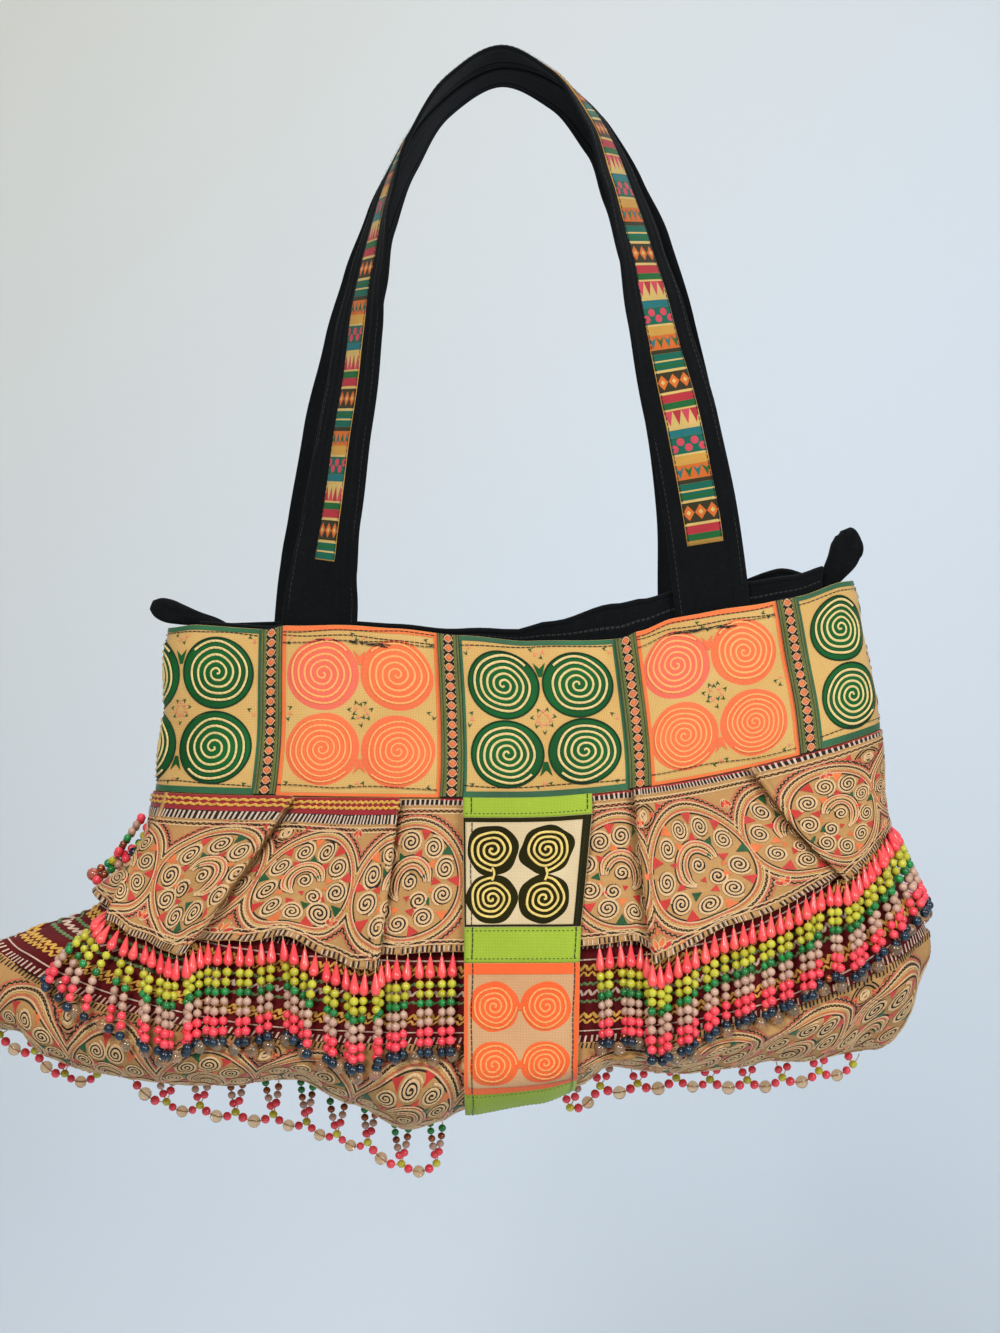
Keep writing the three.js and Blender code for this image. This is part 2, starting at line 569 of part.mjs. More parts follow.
// ---------------------------------------------------------------- the panel down the middle of the front
// Each row is one patch: from and to are places on the sections, left and right its edges in x at those places.
const PANEL = [
  { name: "lime_top", from: 1.004, to: 1.13, left: [-20, -20], right: [50, 50], material: "lime" },
  { name: "olive", from: 1.13, to: 1.8, left: [-20, -19], right: [50, 43], material: "olive" },
  { name: "lime_middle", from: 1.8, to: 2.06, left: [-19, -19], right: [43, 42], material: "lime" },
  { name: "orange", from: 2.06, to: 4.13, left: [-19, -19], right: [42, 40], material: "orange" },
  { name: "lime_bottom", from: 4.13, to: 5.05, left: [-19, -19], right: [40, 39], material: "lime" },
];
// How far the panel lies off the plain form, by section.
const PANEL_OFF = [{ off: 1 }, { off: 3.4 }, { off: 7.6 }, { off: 6 }, { off: 4.4 }, { off: 3.2 }, { off: 3 }];
for (const p of PANEL) {
  const rows = Math.max(2, Math.round((p.to - p.from) * 4)), columns = 4;
  const place = (off) =>
    grid(columns + 1, rows + 1, (c, r) => {
      const f = r / rows, v = lerp(p.from + 0.004, p.to - 0.004, f);
      const x = lerp(lerp(p.left[0], p.left[1], f), lerp(p.right[0], p.right[1], f), c / columns);
      return at(frontAngle(x, v), v, through(PANEL_OFF, v, "off") + off);
    });
  add("panel_" + p.name, wall(place(CLOTH), place(0.4)), p.material);
}

// ---------------------------------------------------------------- the bead fringe on the tier's hem
// One strand from its thread to its last bead: down is the distance along it, half its half thickness.
const STRAND = [
  { part: "thread", down: 2.0, half: 0.5 },
  { part: "drop", down: 11, half: 2.7 },
  { part: "drop_end", down: 14.5, half: 1.2 },
  { part: "yellow", down: 20, half: 2.5 },
  { part: "green", down: 26, half: 1.4 },
  { part: "beige", down: 34, half: 2.5 },
  { part: "gap", down: 39.5, half: 1.3 },
  { part: "coral", down: 45, half: 2.8 },
  { part: "gap", down: 50, half: 1.3 },
  { part: "navy", down: 53.5, half: 2.9 },
  { part: "end", down: 56.5, half: 1.2 },
];
const STRAND_LIE = 5.9; // the strands' middle, out from the body they lie on
// A strand follows the bag near its ends; elsewhere it hangs straight down from the hem and rests on the body where that stands out.
function strandPath(t) {
  const table = [], plumb = [], x = form(t, V.tier_hem).x;
  let length = 0, before = form(t, V.tier_hem);
  for (let v = V.tier_hem; v <= V.turn; v += 0.04) {
    const p = form(t, v), a = frontAngle(x, v), q = at(a, v, lowerLift(a, v));
    length += p.distanceTo(before);
    before = p;
    table.push({ v, length });
    plumb.push({ y: q.y, z: q.z });
  }
  const { lift, dip } = tierLift(t, V.tier_hem), hem = at(t, V.tier_hem, lift - 1, dip);
  const straight = t < Math.PI ? smooth(Math.min(t, Math.PI - t) / 0.7) : 0;
  return (down) => {
    let k = 1;
    const low = dip * smooth(down / 30), reach = down + low; // the hem's dip is taken up along the strand
    while (k < table.length - 1 && table[k].length < reach) k++;
    const a = table[k - 1], b = table[k], v = lerp(a.v, b.v, clamp((reach - a.length) / (b.length - a.length), 0, 1));
    const hang = (lift - 1) * (1 - 0.45 * smooth(down / 50));
    const off = Math.max(hang, lowerLift(t, v) + STRAND_LIE * smooth(down / 8));
    const lying = at(t, v, off, dip - low), z = hem.z - down;
    let m = 1;
    while (m < plumb.length - 1 && plumb[m].z > z) m++;
    const c = plumb[m - 1], d = plumb[m], body = lerp(c.y, d.y, clamp((c.z - z) / (c.z - d.z), 0, 1));
    const hung = new THREE.Vector3(hem.x, Math.min(hem.y, body - STRAND_LIE * smooth(down / 8)), z);
    return { p: lying.lerp(hung, straight), out: outward(t, v).lerp(new THREE.Vector3(0, -1, 0), straight).normalize() };
  };
}
function fringe(angles) {
  const list = angles.map((t, k) => {
    const path = strandPath(t), fat = k % 2 ? 1 : 0.42, pts = STRAND.map((s) => ({ ...path(s.down), half: Math.max(s.half * fat, 0.4) }));
    return [...pts.map((q) => q.p.clone().addScaledVector(q.out, q.half)), ...pts.reverse().map((q) => q.p.clone().addScaledVector(q.out, -q.half))];
  });
  return turnedOut(rings(list));
}
function hemAngles(from, to, pitch) {
  const fine = [];
  let length = 0, before = null;
  for (let k = 0; k <= 600; k++) {
    const t = lerp(from, to, k / 600), p = at(t, V.tier_hem, 4);
    if (before) length += p.distanceTo(before);
    before = p;
    fine.push({ t, length });
  }
  const n = Math.round(length / pitch / 2) * 2;
  return Array.from({ length: n + 1 }, (_, j) => fine.find((q) => q.length >= (length * j) / n - 1e-9).t);
}
const FRINGE_PITCH = 7.5;
const FRINGES = {
  fringe_left: [frontAngle(-212, V.tier_hem), frontAngle(-26, V.tier_hem)],
  fringe_right: [frontAngle(53, V.tier_hem), Math.PI * 1.06],
};
for (const [name, [from, to]] of Object.entries(FRINGES)) add(name, fringe(hemAngles(from, to, FRINGE_PITCH)), "beads");

// ---------------------------------------------------------------- bead nets
// A net is a zigzag of beaded strands with beaded swags between its lower points.
const BULGE = [1.0, 2.4];
function beadTube(points, radiusAt, sides = 4) {
  const curve = new THREE.CatmullRomCurve3(points, false, "centripetal"), n = points.length - 1;
  const list = [];
  for (let k = 0; k <= n; k++) {
    const p = points[k], along = curve.getTangent(k / n), flat = new THREE.Vector3(0, 1, 0);
    flat.addScaledVector(along, -flat.dot(along)).normalize();
    const other = along.clone().cross(flat).normalize(), r = radiusAt(k);
    list.push(Array.from({ length: sides }, (_, j) => {
      const q = ((j + 0.5) / sides) * 2 * Math.PI;
      return p.clone().addScaledVector(flat, Math.cos(q) * r).addScaledVector(other, Math.sin(q) * r);
    }));
  }
  return turnedOut(rings(list));
}
function net(tops, lows, swag, steps) {
  // every second strand comes back up from a knot; tops and lows are points along the seam, one low for each top
  const zig = [], knots = [];
  for (let k = 0; k + 1 < tops.length; k++) {
    const down = k % 2 === 0, from = down ? tops[k] : lows[k], to = down ? lows[k + 1] : tops[k + 1];
    if (down) knots.push(to);
    for (let j = 0; j < steps; j++) zig.push(from.clone().lerp(to, j / steps));
  }
  zig.push(tops[tops.length - 1]);
  const chain = [];
  for (let k = 0; k + 1 < knots.length; k++)
    for (let j = 0; j < 6; j++) {
      const f = j / 6, p = knots[k].clone().lerp(knots[k + 1], f);
      p.z -= swag * 4 * f * (1 - f);
      chain.push(p);
    }
  chain.push(knots[knots.length - 1]);
  const zigSolid = manifoldOf(beadTube(zig, (k) => BULGE[k % 2]));
  const chainSolid = manifoldOf(beadTube(chain, (k) => [2.2, 1.4, 2.6, 3.9, 2.6, 1.4][k % 6]));
  return fromManifold(zigSolid.add(chainSolid));
}
const NET_PITCH = 11; // between the strands' tops
function seamAngles(from, to, v, pitch) {
  const fine = [];
  let length = 0, before = null;
  for (let k = 0; k <= 500; k++) {
    const t = lerp(from, to, k / 500), p = form(t, v);
    if (before) length += p.distanceTo(before);
    before = p;
    fine.push({ t, length });
  }
  const n = Math.round(length / pitch / 2) * 2;
  return Array.from({ length: n + 1 }, (_, j) => fine.find((q) => q.length >= (length * j) / n - 1e-9).t);
}
const NET_SWAG = 4, NET_START = 4.5;
// The bottom nets: how far below the seam their knots hang, at places along x.
const BOTTOM_NETS = {
  net_bottom_left: [
    { x: -280, down: 6 },
    { x: -267, down: 8 },
    { x: -259, down: 15 },
    { x: -236, down: 12 },
    { x: -224, down: 6 },
    { x: -203, down: 6 },
    { x: -188, down: 16 },
    { x: -159, down: 14 },
    { x: -142, down: 18 },
    { x: -120, down: 22 },
    { x: -103, down: 26 },
    { x: -83, down: 21 },
    { x: -60, down: 23 },
    { x: -36, down: 24 },
  ],
  net_bottom_right: [
    { x: 40, down: 15 },
    { x: 76, down: 8 },
    { x: 94, down: 7 },
    { x: 118, down: 8 },
    { x: 130, down: 12 },
    { x: 146, down: 11 },
    { x: 171, down: 8 },
    { x: 200, down: 6 },
  ],
};
for (const [name, rows] of Object.entries(BOTTOM_NETS)) {
  const angles = seamAngles(frontAngle(rows[0].x, V.seam), frontAngle(rows[rows.length - 1].x, V.seam), V.seam, NET_PITCH);
  const hung = (downAt) => angles.map((t) => {
    const p = form(t, V.seam);
    return p.set(p.x, SECTIONS[V.seam].side, p.z - downAt(p.x));
  });
  add(name, net(hung(() => NET_START), hung((x) => alongX(rows, x, "down")), NET_SWAG, 6), "beads");
}
// The back's net hangs from just under the yoke and lies on the tier.
const BACK_NET = { from: Math.PI * 1.1, to: Math.PI * 1.985, top: 1.3, low: 1.8, lie: 8.2, pitch: 17 };
{
  const lying = (v) => seamAngles(BACK_NET.from, BACK_NET.to, BACK_NET.top, BACK_NET.pitch).map((t) => at(t, v, tierLift(t, v).lift + BACK_NET.lie));
  add("net_back", net(lying(BACK_NET.top), lying(BACK_NET.low), NET_SWAG, 4), "beads");
}

export default group;
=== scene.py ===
import bpy, math
import numpy as np
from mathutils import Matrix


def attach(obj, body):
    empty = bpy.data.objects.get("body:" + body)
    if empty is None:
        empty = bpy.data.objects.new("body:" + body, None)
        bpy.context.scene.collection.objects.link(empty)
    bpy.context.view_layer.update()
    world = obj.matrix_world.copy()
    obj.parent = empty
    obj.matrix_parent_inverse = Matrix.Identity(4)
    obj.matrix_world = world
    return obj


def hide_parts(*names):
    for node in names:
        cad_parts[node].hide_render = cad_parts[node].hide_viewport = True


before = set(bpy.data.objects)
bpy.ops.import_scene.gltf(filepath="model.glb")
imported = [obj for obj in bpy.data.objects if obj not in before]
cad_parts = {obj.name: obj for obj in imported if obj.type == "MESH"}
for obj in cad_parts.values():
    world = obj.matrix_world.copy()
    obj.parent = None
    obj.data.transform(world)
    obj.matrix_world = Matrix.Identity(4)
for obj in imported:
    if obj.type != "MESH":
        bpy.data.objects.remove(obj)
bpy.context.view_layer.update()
PI = math.pi
rng = np.random.default_rng(11)

# Lengths are millimetres here and become metres when a mesh is made. The front faces -Y.

# ---------------------------------------------------------------- the bag's sections (as in the CAD)
KEYS = ("left", "right", "front", "back", "side", "zLeft", "zFront", "zRight", "zBack", "droop", "round")
ROWS = (
    (-189, 201, -42, 30, -4, -318, -326, -291, -322, 1.7, 2.3),   # yoke top
    (-196, 216, -55, 38, -6, -410, -412, -375, -400, 1.7, 2.3),   # yoke hem
    (-227, 216, -80, 50, -8, -469, -496, -428, -482, 3.2, 2.3),   # tier hem
    (-287, 242, -90, 60, -10, -494, -541, -487, -530, 3.0, 2.2),  # braid hem
    (-297, 240, -90, 62, -10, -524, -562, -514, -550, 2.6, 2.2),  # belly
    (-293, 220, -66, 46, -10, -544, -580, -554, -572, 2.4, 2.2),  # turn
    (-287, 204, -11, -9, -10, -548, -590, -564, -590, 2.2, 2.0),  # seam
)
SECT = {k: np.array([r[i] for r in ROWS], float) for i, k in enumerate(KEYS)}
# name, x at the yoke, x at the hem, way the edge faces, rise at the yoke, rise at the hem, lobe width
PLEATS = (
    ("lobe_left", -186, -208, -1, 0.5, 8, 50),
    ("left_outer", -114, -164, 1, 3, 11, 46),
    ("left_inner", -56, -65, 1, 3, 9, 40),
    ("right_inner", 74, 81, -1, 3, 9, 44),
    ("right_outer", 138, 186, -1, 4, 5, 34),
)
BOTTOM = np.array([(-300, -4), (-284, -6), (-263, -12), (-248, -5.5), (-230, -1), (-190, -5), (-152, -9), (-110, -17), (-80, -4), (-50, 8), (-34, 5), (-19, -2), (20, -8), (44, -14), (59, -21), (82, -18), (106, -16), (141, -15), (171, -9), (197, -7), (224, -4), (250, 0)], float)
FRONT_RIM = np.array([(-190, 0), (-169, 2.8), (-130, 2.4), (-118, 5.2), (-84, 6.9), (-58, 6), (-20, 3), (18, 0), (67, -3), (77, -0.5), (96, 3.5), (119, 3.3), (152, 1), (170, 0), (190, 1.5), (202, 0)], float)
HEM_SAG = np.array([(-236, 0), (-216, 2), (-205, 4), (-193, 9), (-180, 9.5), (-171, 8), (-160, 2), (-140, -2), (-115, -7.5), (-90, 0), (-76, 4), (-60, -1), (-40, -3), (0, -2), (45, -5.5), (72, -6), (82, 0), (100, -1), (123, -4), (163, -2), (192, 1.5), (215, 0)], float)
BACK_RIM = np.array([(-190, 0), (-110, 4), (0, 0), (70, 3), (120, 10), (160, 15), (196, 0)], float)
FACING_RISE = np.array([(-190, 2), (-120, 2), (-40, 3), (5, 6), (28, 11), (62, 20), (95, 15.5), (140, 13.5), (175, 12), (200, 9)], float)
FLOUNCE, BRAID_IN, FOLD_STEP, HEM_DIP = 4.0, 3.2, 6.0, 0.95
SAG_OUT, SIDE_WAIST = 0.6, 7.0
PUFF = 1.4  # the lobes of soft cloth stand out this much further than the plain solids
TUCK_DEPTH, TUCK_WIDTH = 11.0, 14.0


def smooth(f):
    f = np.clip(f, 0, 1)
    return f * f * (3 - 2 * f)


def through(col, v):
    v = np.asarray(v, float)
    last = len(col) - 1
    i = np.clip(np.floor(v).astype(int), 0, last - 1)
    f = v - i
    g = lambda k: col[np.clip(k, 0, last)]
    a, b, c, d = g(i - 1), g(i), g(i + 1), g(i + 2)
    m0, m1 = (c - a) / 2, (d - b) / 2
    f2, f3 = f * f, f * f * f
    return (2 * f3 - 3 * f2 + 1) * b + (f3 - 2 * f2 + f) * m0 + (3 * f2 - 2 * f3) * c + (f3 - f2) * m1


def along_x(table, x):
    xs, ys = table[:, 0], table[:, 1]
    k = np.clip(np.searchsorted(xs, x, side="left"), 1, len(xs) - 1)
    return ys[k - 1] + (ys[k] - ys[k - 1]) * smooth((x - xs[k - 1]) / (xs[k] - xs[k - 1]))


def unit(a):
    return a / np.maximum(np.linalg.norm(a, axis=-1, keepdims=True), 1e-12)


def form(t, v):
    t, v = np.broadcast_arrays(np.asarray(t, float), np.asarray(v, float))
    s = {k: through(SECT[k], v) for k in KEYS}
    c, n = np.cos(t), np.sin(t)
    p = 2 / s["round"]
    across, deep = np.sign(c) * np.abs(c) ** p, np.abs(n) ** p
    mid, half = (s["left"] + s["right"]) / 2, (s["right"] - s["left"]) / 2
    front = n >= 0
    face, z_face = np.where(front, s["front"], s["back"]), np.where(front, s["zFront"], s["zBack"])
    z_end = np.where(c > 0, s["zLeft"], s["zRight"])
    waist = SIDE_WAIST * np.maximum(across, 0) ** 6 * np.sin(PI * np.clip(v - 1, 0, 1)) ** 2
    x = mid - half * across + waist
    z = z_face + (z_end - z_face) * np.abs(across) ** s["droop"]
    z = z - along_x(BOTTOM, x) * smooth((v - 3) / 2) + np.where(front, along_x(FRONT_RIM, x), along_x(BACK_RIM, x)) * smooth(1 - v)
    return np.stack([x, s["side"] + (face - s["side"]) * deep, z], -1)


def outward(t, v):
    t, v = np.broadcast_arrays(np.asarray(t, float), np.asarray(v, float))
    e, f = 0.004, 0.02
    turn = np.where(np.sin(t) >= 0, np.clip(t, 2 * e, PI - 2 * e), np.clip(t, PI + 2 * e, 2 * PI - 2 * e))
    along = form(turn + e, v) - form(turn - e, v)
    down = form(turn, np.minimum(v + f, 6)) - form(turn, np.maximum(v - f, 0))
    return unit(np.cross(down, along))


def front_angle(x, v):
    """The angle on the front at which the loop at v passes x."""
    x, v = np.broadcast_arrays(np.asarray(x, float), np.asarray(v, float))
    a, b = np.full(x.shape, 0.0005), np.full(x.shape, PI - 0.0005)
    for _ in range(30):
        m = (a + b) / 2
        less = form(m, v)[..., 0] < x
        a, b = np.where(less, m, a), np.where(less, b, m)
    m = (a + b) / 2
    return m if m.ndim else float(m)


def at(t, v, off, dip=0.0):
    p = form(t, v) + outward(t, v) * np.asarray(off)[..., None]
    p[..., 2] -= dip
    return p


def pleat_x(f, v):
    return f[1] + (f[2] - f[1]) * (v - 1)


def pleat_rise(f, v):
    return f[4] + (f[5] - f[4]) * smooth(v - 1)


def lobes(x, v, but=None):
    """How far the lobes behind the pleats' edges stand off the layer below."""
    best = np.zeros(np.broadcast(x, v).shape)
    for f in PLEATS:
        if f is but:
            continue
        d = (x - pleat_x(f, v)) * f[3]
        best = np.maximum(best, np.where(d <= 0, np.maximum(0, 1 + d / f[6]) ** 2, 0) * pleat_rise(f, v))
    return best


def hem_wave(x):
    return waves(x, 0 * x, 15, 40, 0.9)


def tier_lift(t, v):
    x = form(t, v)[..., 0]
    lift, dip = np.zeros(x.shape), np.zeros(x.shape)
    for f in PLEATS:
        d = (x - pleat_x(f, v)) * f[3]
        s = np.where(d <= 0, np.maximum(0, 1 + d / f[6]) ** 2, np.maximum(0, 1 - d / FOLD_STEP)) * pleat_rise(f, v)
        s = np.where(np.sin(t) > 0, s, 0)
        lift, dip = np.maximum(lift, s), np.maximum(dip, s * HEM_DIP * (v - 1))
    sag = along_x(HEM_SAG, x) * smooth(v - 1) * (np.sin(t) > 0)
    return PUFF * lift + SAG_OUT * np.maximum(sag, 0) + FLOUNCE * smooth(v - 1), dip + sag + hem_wave(x) * smooth((v - 1.2) / 0.8) * (np.sin(t) > 0)


def lower_lift(t, v):
    t, v = np.broadcast_arrays(np.asarray(t, float), np.asarray(v, float))
    lift = -BRAID_IN * smooth(1 - (v - 2))
    fade = smooth((6 - v) / 3.2)
    x = form(t, v)[..., 0]
    for f in PLEATS:
        d = (x - f[2] + f[3] * 14) / 20
        lift = lift + np.where(np.sin(t) > 0, 0.45 * f[5] * fade * np.exp(-d * d), 0)
    for end in (0, PI, 2 * PI):
        arc = np.minimum(np.abs(t - end) * 160, 200) / TUCK_WIDTH
        lift = lift - TUCK_DEPTH * fade * (0.35 if end == PI else 1) * np.exp(-arc * arc)
    return lift


def waves(a, b, seed, size, amp):
    """Soft unevenness of cloth: a few slow waves across (a, b), in mm."""
    r = np.random.default_rng(seed)
    total = np.zeros(np.broadcast(a, b).shape)
    for k in range(7):
        ang, wl, ph = r.uniform(0, PI), size * r.uniform(0.6, 1.7), r.uniform(0, 2 * PI)
        total = total + np.sin(2 * PI * (a * math.cos(ang) + b * math.sin(ang)) / wl + ph)
    return amp * total / 3.2


# ---------------------------------------------------------------- colours and materials
def lin(*rgb):
    out = []
    for c in rgb:
        c = c / 255
        out.append(c / 12.92 if c <= 0.04045 else ((c + 0.055) / 1.055) ** 2.4)
    return (*out, 1.0)


MATS = {}


def new_material(name):
    m = bpy.data.materials.new(name)
    m.use_nodes = True
    MATS[name] = m
    nt = m.node_tree
    return m, nt, nt.nodes["Principled BSDF"], nt.links.new


def mixed(nt, link, fac, a, b):
    n = nt.nodes.new("ShaderNodeMix")
    n.data_type = "RGBA"
    n.inputs["A"].default_value, n.inputs["B"].default_value = a, b
    link(fac, n.inputs["Factor"])
    return n.outputs["Result"]


def ramp(nt, link, fac, low, high):
    n = nt.nodes.new("ShaderNodeMapRange")
    n.inputs["From Min"].default_value, n.inputs["From Max"].default_value = low, high
    link(fac, n.inputs["Value"])
    return n.outputs["Result"]


def mathed(nt, link, op, a, b):
    n = nt.nodes.new("ShaderNodeMath")
    n.operation = op
    for i, x in enumerate((a, b)):
        if isinstance(x, (int, float)):
            n.inputs[i].default_value = x
        else:
            link(x, n.inputs[i])
    return n.outputs[0]


def scaled(c, k):
    return (min(c[0] * k, 1), min(c[1] * k, 1), min(c[2] * k, 1), 1.0)


def cloth_material(name, colour, other=None, thread=0.9, blotch=45.0, rough=0.88, sheen=0.25, bump=0.35, spots=0.0, spot_colour=None, spec=0.25):
    """Woven cloth on the mm coordinates of the piece: weave, fading and worn or soiled places."""
    m, nt, b, link = new_material(name)
    uv = nt.nodes.new("ShaderNodeUVMap")
    uv.uv_map = "cloth"
    bands = []
    for direction in ("X", "Y"):
        w = nt.nodes.new("ShaderNodeTexWave")
        w.wave_type, w.bands_direction, w.wave_profile = "BANDS", direction, "SIN"
        w.inputs["Scale"].default_value = 0.314 / thread
        w.inputs["Distortion"].default_value = 1.2
        w.inputs["Detail"].default_value = 1.0
        link(uv.outputs["UV"], w.inputs["Vector"])
        bands.append(w.outputs["Fac"])
    weave = mathed(nt, link, "MULTIPLY", bands[0], bands[1])
    big = nt.nodes.new("ShaderNodeTexNoise")
    big.inputs["Scale"].default_value, big.inputs["Detail"].default_value = 1 / blotch, 4.0
    link(uv.outputs["UV"], big.inputs["Vector"])
    tone = ramp(nt, link, big.outputs["Fac"], 0.3, 0.7)
    base = mixed(nt, link, tone, scaled(colour, 0.80) if other is None else other, colour)
    shade = nt.nodes.new("ShaderNodeMix")
    shade.data_type, shade.blend_type = "RGBA", "MULTIPLY"
    link(base, shade.inputs["A"])
    thread_tone = mixed(nt, link, weave, (0.74, 0.74, 0.74, 1), (1.08, 1.08, 1.08, 1))
    link(thread_tone, shade.inputs["B"])
    shade.inputs["Factor"].default_value = 1.0
    result = shade.outputs["Result"]
    if spots > 0:
        fine = nt.nodes.new("ShaderNodeTexNoise")
        fine.inputs["Scale"].default_value, fine.inputs["Detail"].default_value = 0.35, 3.0
        link(uv.outputs["UV"], fine.inputs["Vector"])
        fac = mathed(nt, link, "MULTIPLY", ramp(nt, link, fine.outputs["Fac"], 0.56, 0.72), spots)
        lint = nt.nodes.new("ShaderNodeMix")
        lint.data_type = "RGBA"
        link(fac, lint.inputs["Factor"])
        link(result, lint.inputs["A"])
        lint.inputs["B"].default_value = spot_colour
        result = lint.outputs["Result"]
    link(result, b.inputs["Base Color"])
    r = nt.nodes.new("ShaderNodeMapRange")
    r.inputs["To Min"].default_value, r.inputs["To Max"].default_value = rough - 0.08, min(rough + 0.08, 1)
    link(big.outputs["Fac"], r.inputs["Value"])
    link(r.outputs["Result"], b.inputs["Roughness"])
    bm = nt.nodes.new("ShaderNodeBump")
    bm.inputs["Strength"].default_value, bm.inputs["Distance"].default_value = bump, 0.0006
    link(weave, bm.inputs["Height"])
    link(bm.outputs["Normal"], b.inputs["Normal"])
    b.inputs["Sheen Weight"].default_value = sheen
    b.inputs["Sheen Roughness"].default_value = 0.45
    b.inputs["Specular IOR Level"].default_value = spec
    return m


def thread_material(name, colour, twist=1.1, rough=0.62, sheen=0.3, bump=0.5, vary=0.72, spec=0.3):
    """Twisted thread or cord: tone along it, and the twist as bump."""
    m, nt, b, link = new_material(name)
    uv = nt.nodes.new("ShaderNodeUVMap")
    uv.uv_map = "cloth"
    w = nt.nodes.new("ShaderNodeTexWave")
    w.wave_type, w.bands_direction, w.wave_profile = "BANDS", "DIAGONAL", "SIN"
    w.inputs["Scale"].default_value = 0.314 / twist
    link(uv.outputs["UV"], w.inputs["Vector"])
    n = nt.nodes.new("ShaderNodeTexNoise")
    n.inputs["Scale"].default_value, n.inputs["Detail"].default_value = 0.12, 3.0
    link(uv.outputs["UV"], n.inputs["Vector"])
    link(mixed(nt, link, ramp(nt, link, n.outputs["Fac"], 0.3, 0.7), scaled(colour, vary), colour), b.inputs["Base Color"])
    bm = nt.nodes.new("ShaderNodeBump")
    bm.inputs["Strength"].default_value, bm.inputs["Distance"].default_value = bump, 0.0004
    link(w.outputs["Fac"], bm.inputs["Height"])
    link(bm.outputs["Normal"], b.inputs["Normal"])
    b.inputs["Roughness"].default_value = rough
    b.inputs["Sheen Weight"].default_value = sheen
    b.inputs["Sheen Roughness"].default_value = 0.4
    b.inputs["Specular IOR Level"].default_value = spec
    return m


def bead_material(name, colour, other, rough=0.2, coat=0.3, through_light=0.0, ior=1.49, metal=0.0, inside=0.0):
    """Acrylic bead: every bead has its own tone, with fine wear in its gloss."""
    m, nt, b, link = new_material(name)
    g = nt.nodes.new("ShaderNodeNewGeometry")
    link(mixed(nt, link, g.outputs["Random Per Island"], colour, other), b.inputs["Base Color"])
    tc = nt.nodes.new("ShaderNodeTexCoord")
    n = nt.nodes.new("ShaderNodeTexNoise")
    n.inputs["Scale"].default_value, n.inputs["Detail"].default_value = 420.0, 2.0
    link(tc.outputs["Object"], n.inputs["Vector"])
    r = nt.nodes.new("ShaderNodeMapRange")
    r.inputs["To Min"].default_value, r.inputs["To Max"].default_value = max(rough - 0.08, 0.03), rough + 0.12
    link(n.outputs["Fac"], r.inputs["Value"])
    link(r.outputs["Result"], b.inputs["Roughness"])
    b.inputs["Coat Weight"].default_value = coat
    b.inputs["Coat Roughness"].default_value = 0.08
    b.inputs["Transmission Weight"].default_value = through_light
    b.inputs["IOR"].default_value = ior
    b.inputs["Metallic"].default_value = metal
    if inside > 0:
        b.inputs["Subsurface Weight"].default_value = inside
        b.inputs["Subsurface Radius"].default_value = (1.0, 0.6, 0.4)
        b.inputs["Subsurface Scale"].default_value = 0.003
    return m


cloth_material("yoke_cream", lin(230, 188, 116), lin(218, 170, 96), spots=0.25, spot_colour=lin(198, 152, 86))
cloth_material("green_applique", lin(8, 108, 44), lin(5, 76, 27), thread=0.7, rough=0.6, sheen=0.05, spec=0.2)
# green_deep: dark green for the rims of the green discs, and painted shade in the bands beside their cords
cloth_material("green_deep", lin(6, 58, 24), lin(4, 42, 16), thread=0.7, rough=0.7, sheen=0.1)
cloth_material("orange_applique", lin(255, 130, 78), lin(250, 116, 74), thread=0.7, sheen=0.2)
cloth_material("pink_applique", lin(252, 120, 98), lin(248, 116, 84), thread=0.7, sheen=0.2)
cloth_material("green_satin", lin(22, 116, 62), lin(8, 70, 36), thread=0.6, rough=0.5, sheen=0.2, spec=0.5)
cloth_material("orange_frame", lin(255, 136, 74), lin(250, 118, 66), thread=0.7)
cloth_material("strip_black", lin(38, 36, 28), lin(24, 24, 20), thread=0.7)
cloth_material("embroidered_beige", lin(205, 158, 101), lin(190, 141, 85), thread=0.8, blotch=60, sheen=0.05, spec=0.15, spots=0.3, spot_colour=lin(212, 170, 116))
# the braid's cloth is dark red, made darker still as painted shade: it stands for the shade that falls on the braid
# behind the fringe
cloth_material("braid_red", lin(112, 20, 24), lin(82, 12, 16), thread=0.8, sheen=0.05, spec=0.15)
cloth_material("ribbon_red", lin(176, 40, 46), lin(138, 26, 34), thread=0.7, rough=0.7, sheen=0.35)
cloth_material("lime_cotton", lin(172, 198, 62), lin(158, 182, 52), thread=0.8, sheen=0.15, spots=0.15, spot_colour=lin(174, 206, 84))
cloth_material("olive_ground", lin(232, 210, 170), lin(216, 190, 146), thread=0.8)
cloth_material("olive_applique", lin(46, 42, 10), lin(33, 31, 6), thread=0.7, sheen=0.03, spec=0.1)
cloth_material("orange_ground", lin(226, 176, 128), lin(210, 156, 108), thread=0.8)
cloth_material("orange_bright", lin(255, 116, 56), lin(250, 100, 48), thread=0.7)
cloth_material("black_cotton", lin(17, 19, 21), lin(11, 13, 15), thread=0.9, blotch=30, rough=0.92, sheen=0.03, bump=0.5, spots=0.14, spot_colour=lin(42, 43, 47), spec=0.1)
for key, c in {
    "print_teal": (16, 104, 84), "print_cream": (226, 190, 112), "print_orange": (222, 112, 44), "print_red": (190, 52, 62),
    "print_green": (30, 104, 52), "print_ochre": (216, 160, 72), "print_pink": (218, 76, 92), "print_dark": (58, 52, 30), "print_blue": (34, 118, 120),
}.items():
    cloth_material(key, lin(*c), thread=0.6, blotch=20, sheen=0.15)
thread_material("cord_cream", lin(232, 204, 136), twist=1.4, vary=0.78)
thread_material("cord_gold", lin(255, 172, 100), twist=1.4, vary=0.85)
thread_material("cord_olive", lin(236, 206, 116), twist=1.4)
thread_material("cord_orange", lin(255, 164, 94), twist=1.4)
thread_material("cord_beige", lin(218, 179, 131), twist=1.2, vary=0.85, sheen=0.05)
thread_material("thread_dark", lin(34, 26, 18), twist=0.8, sheen=0.05)
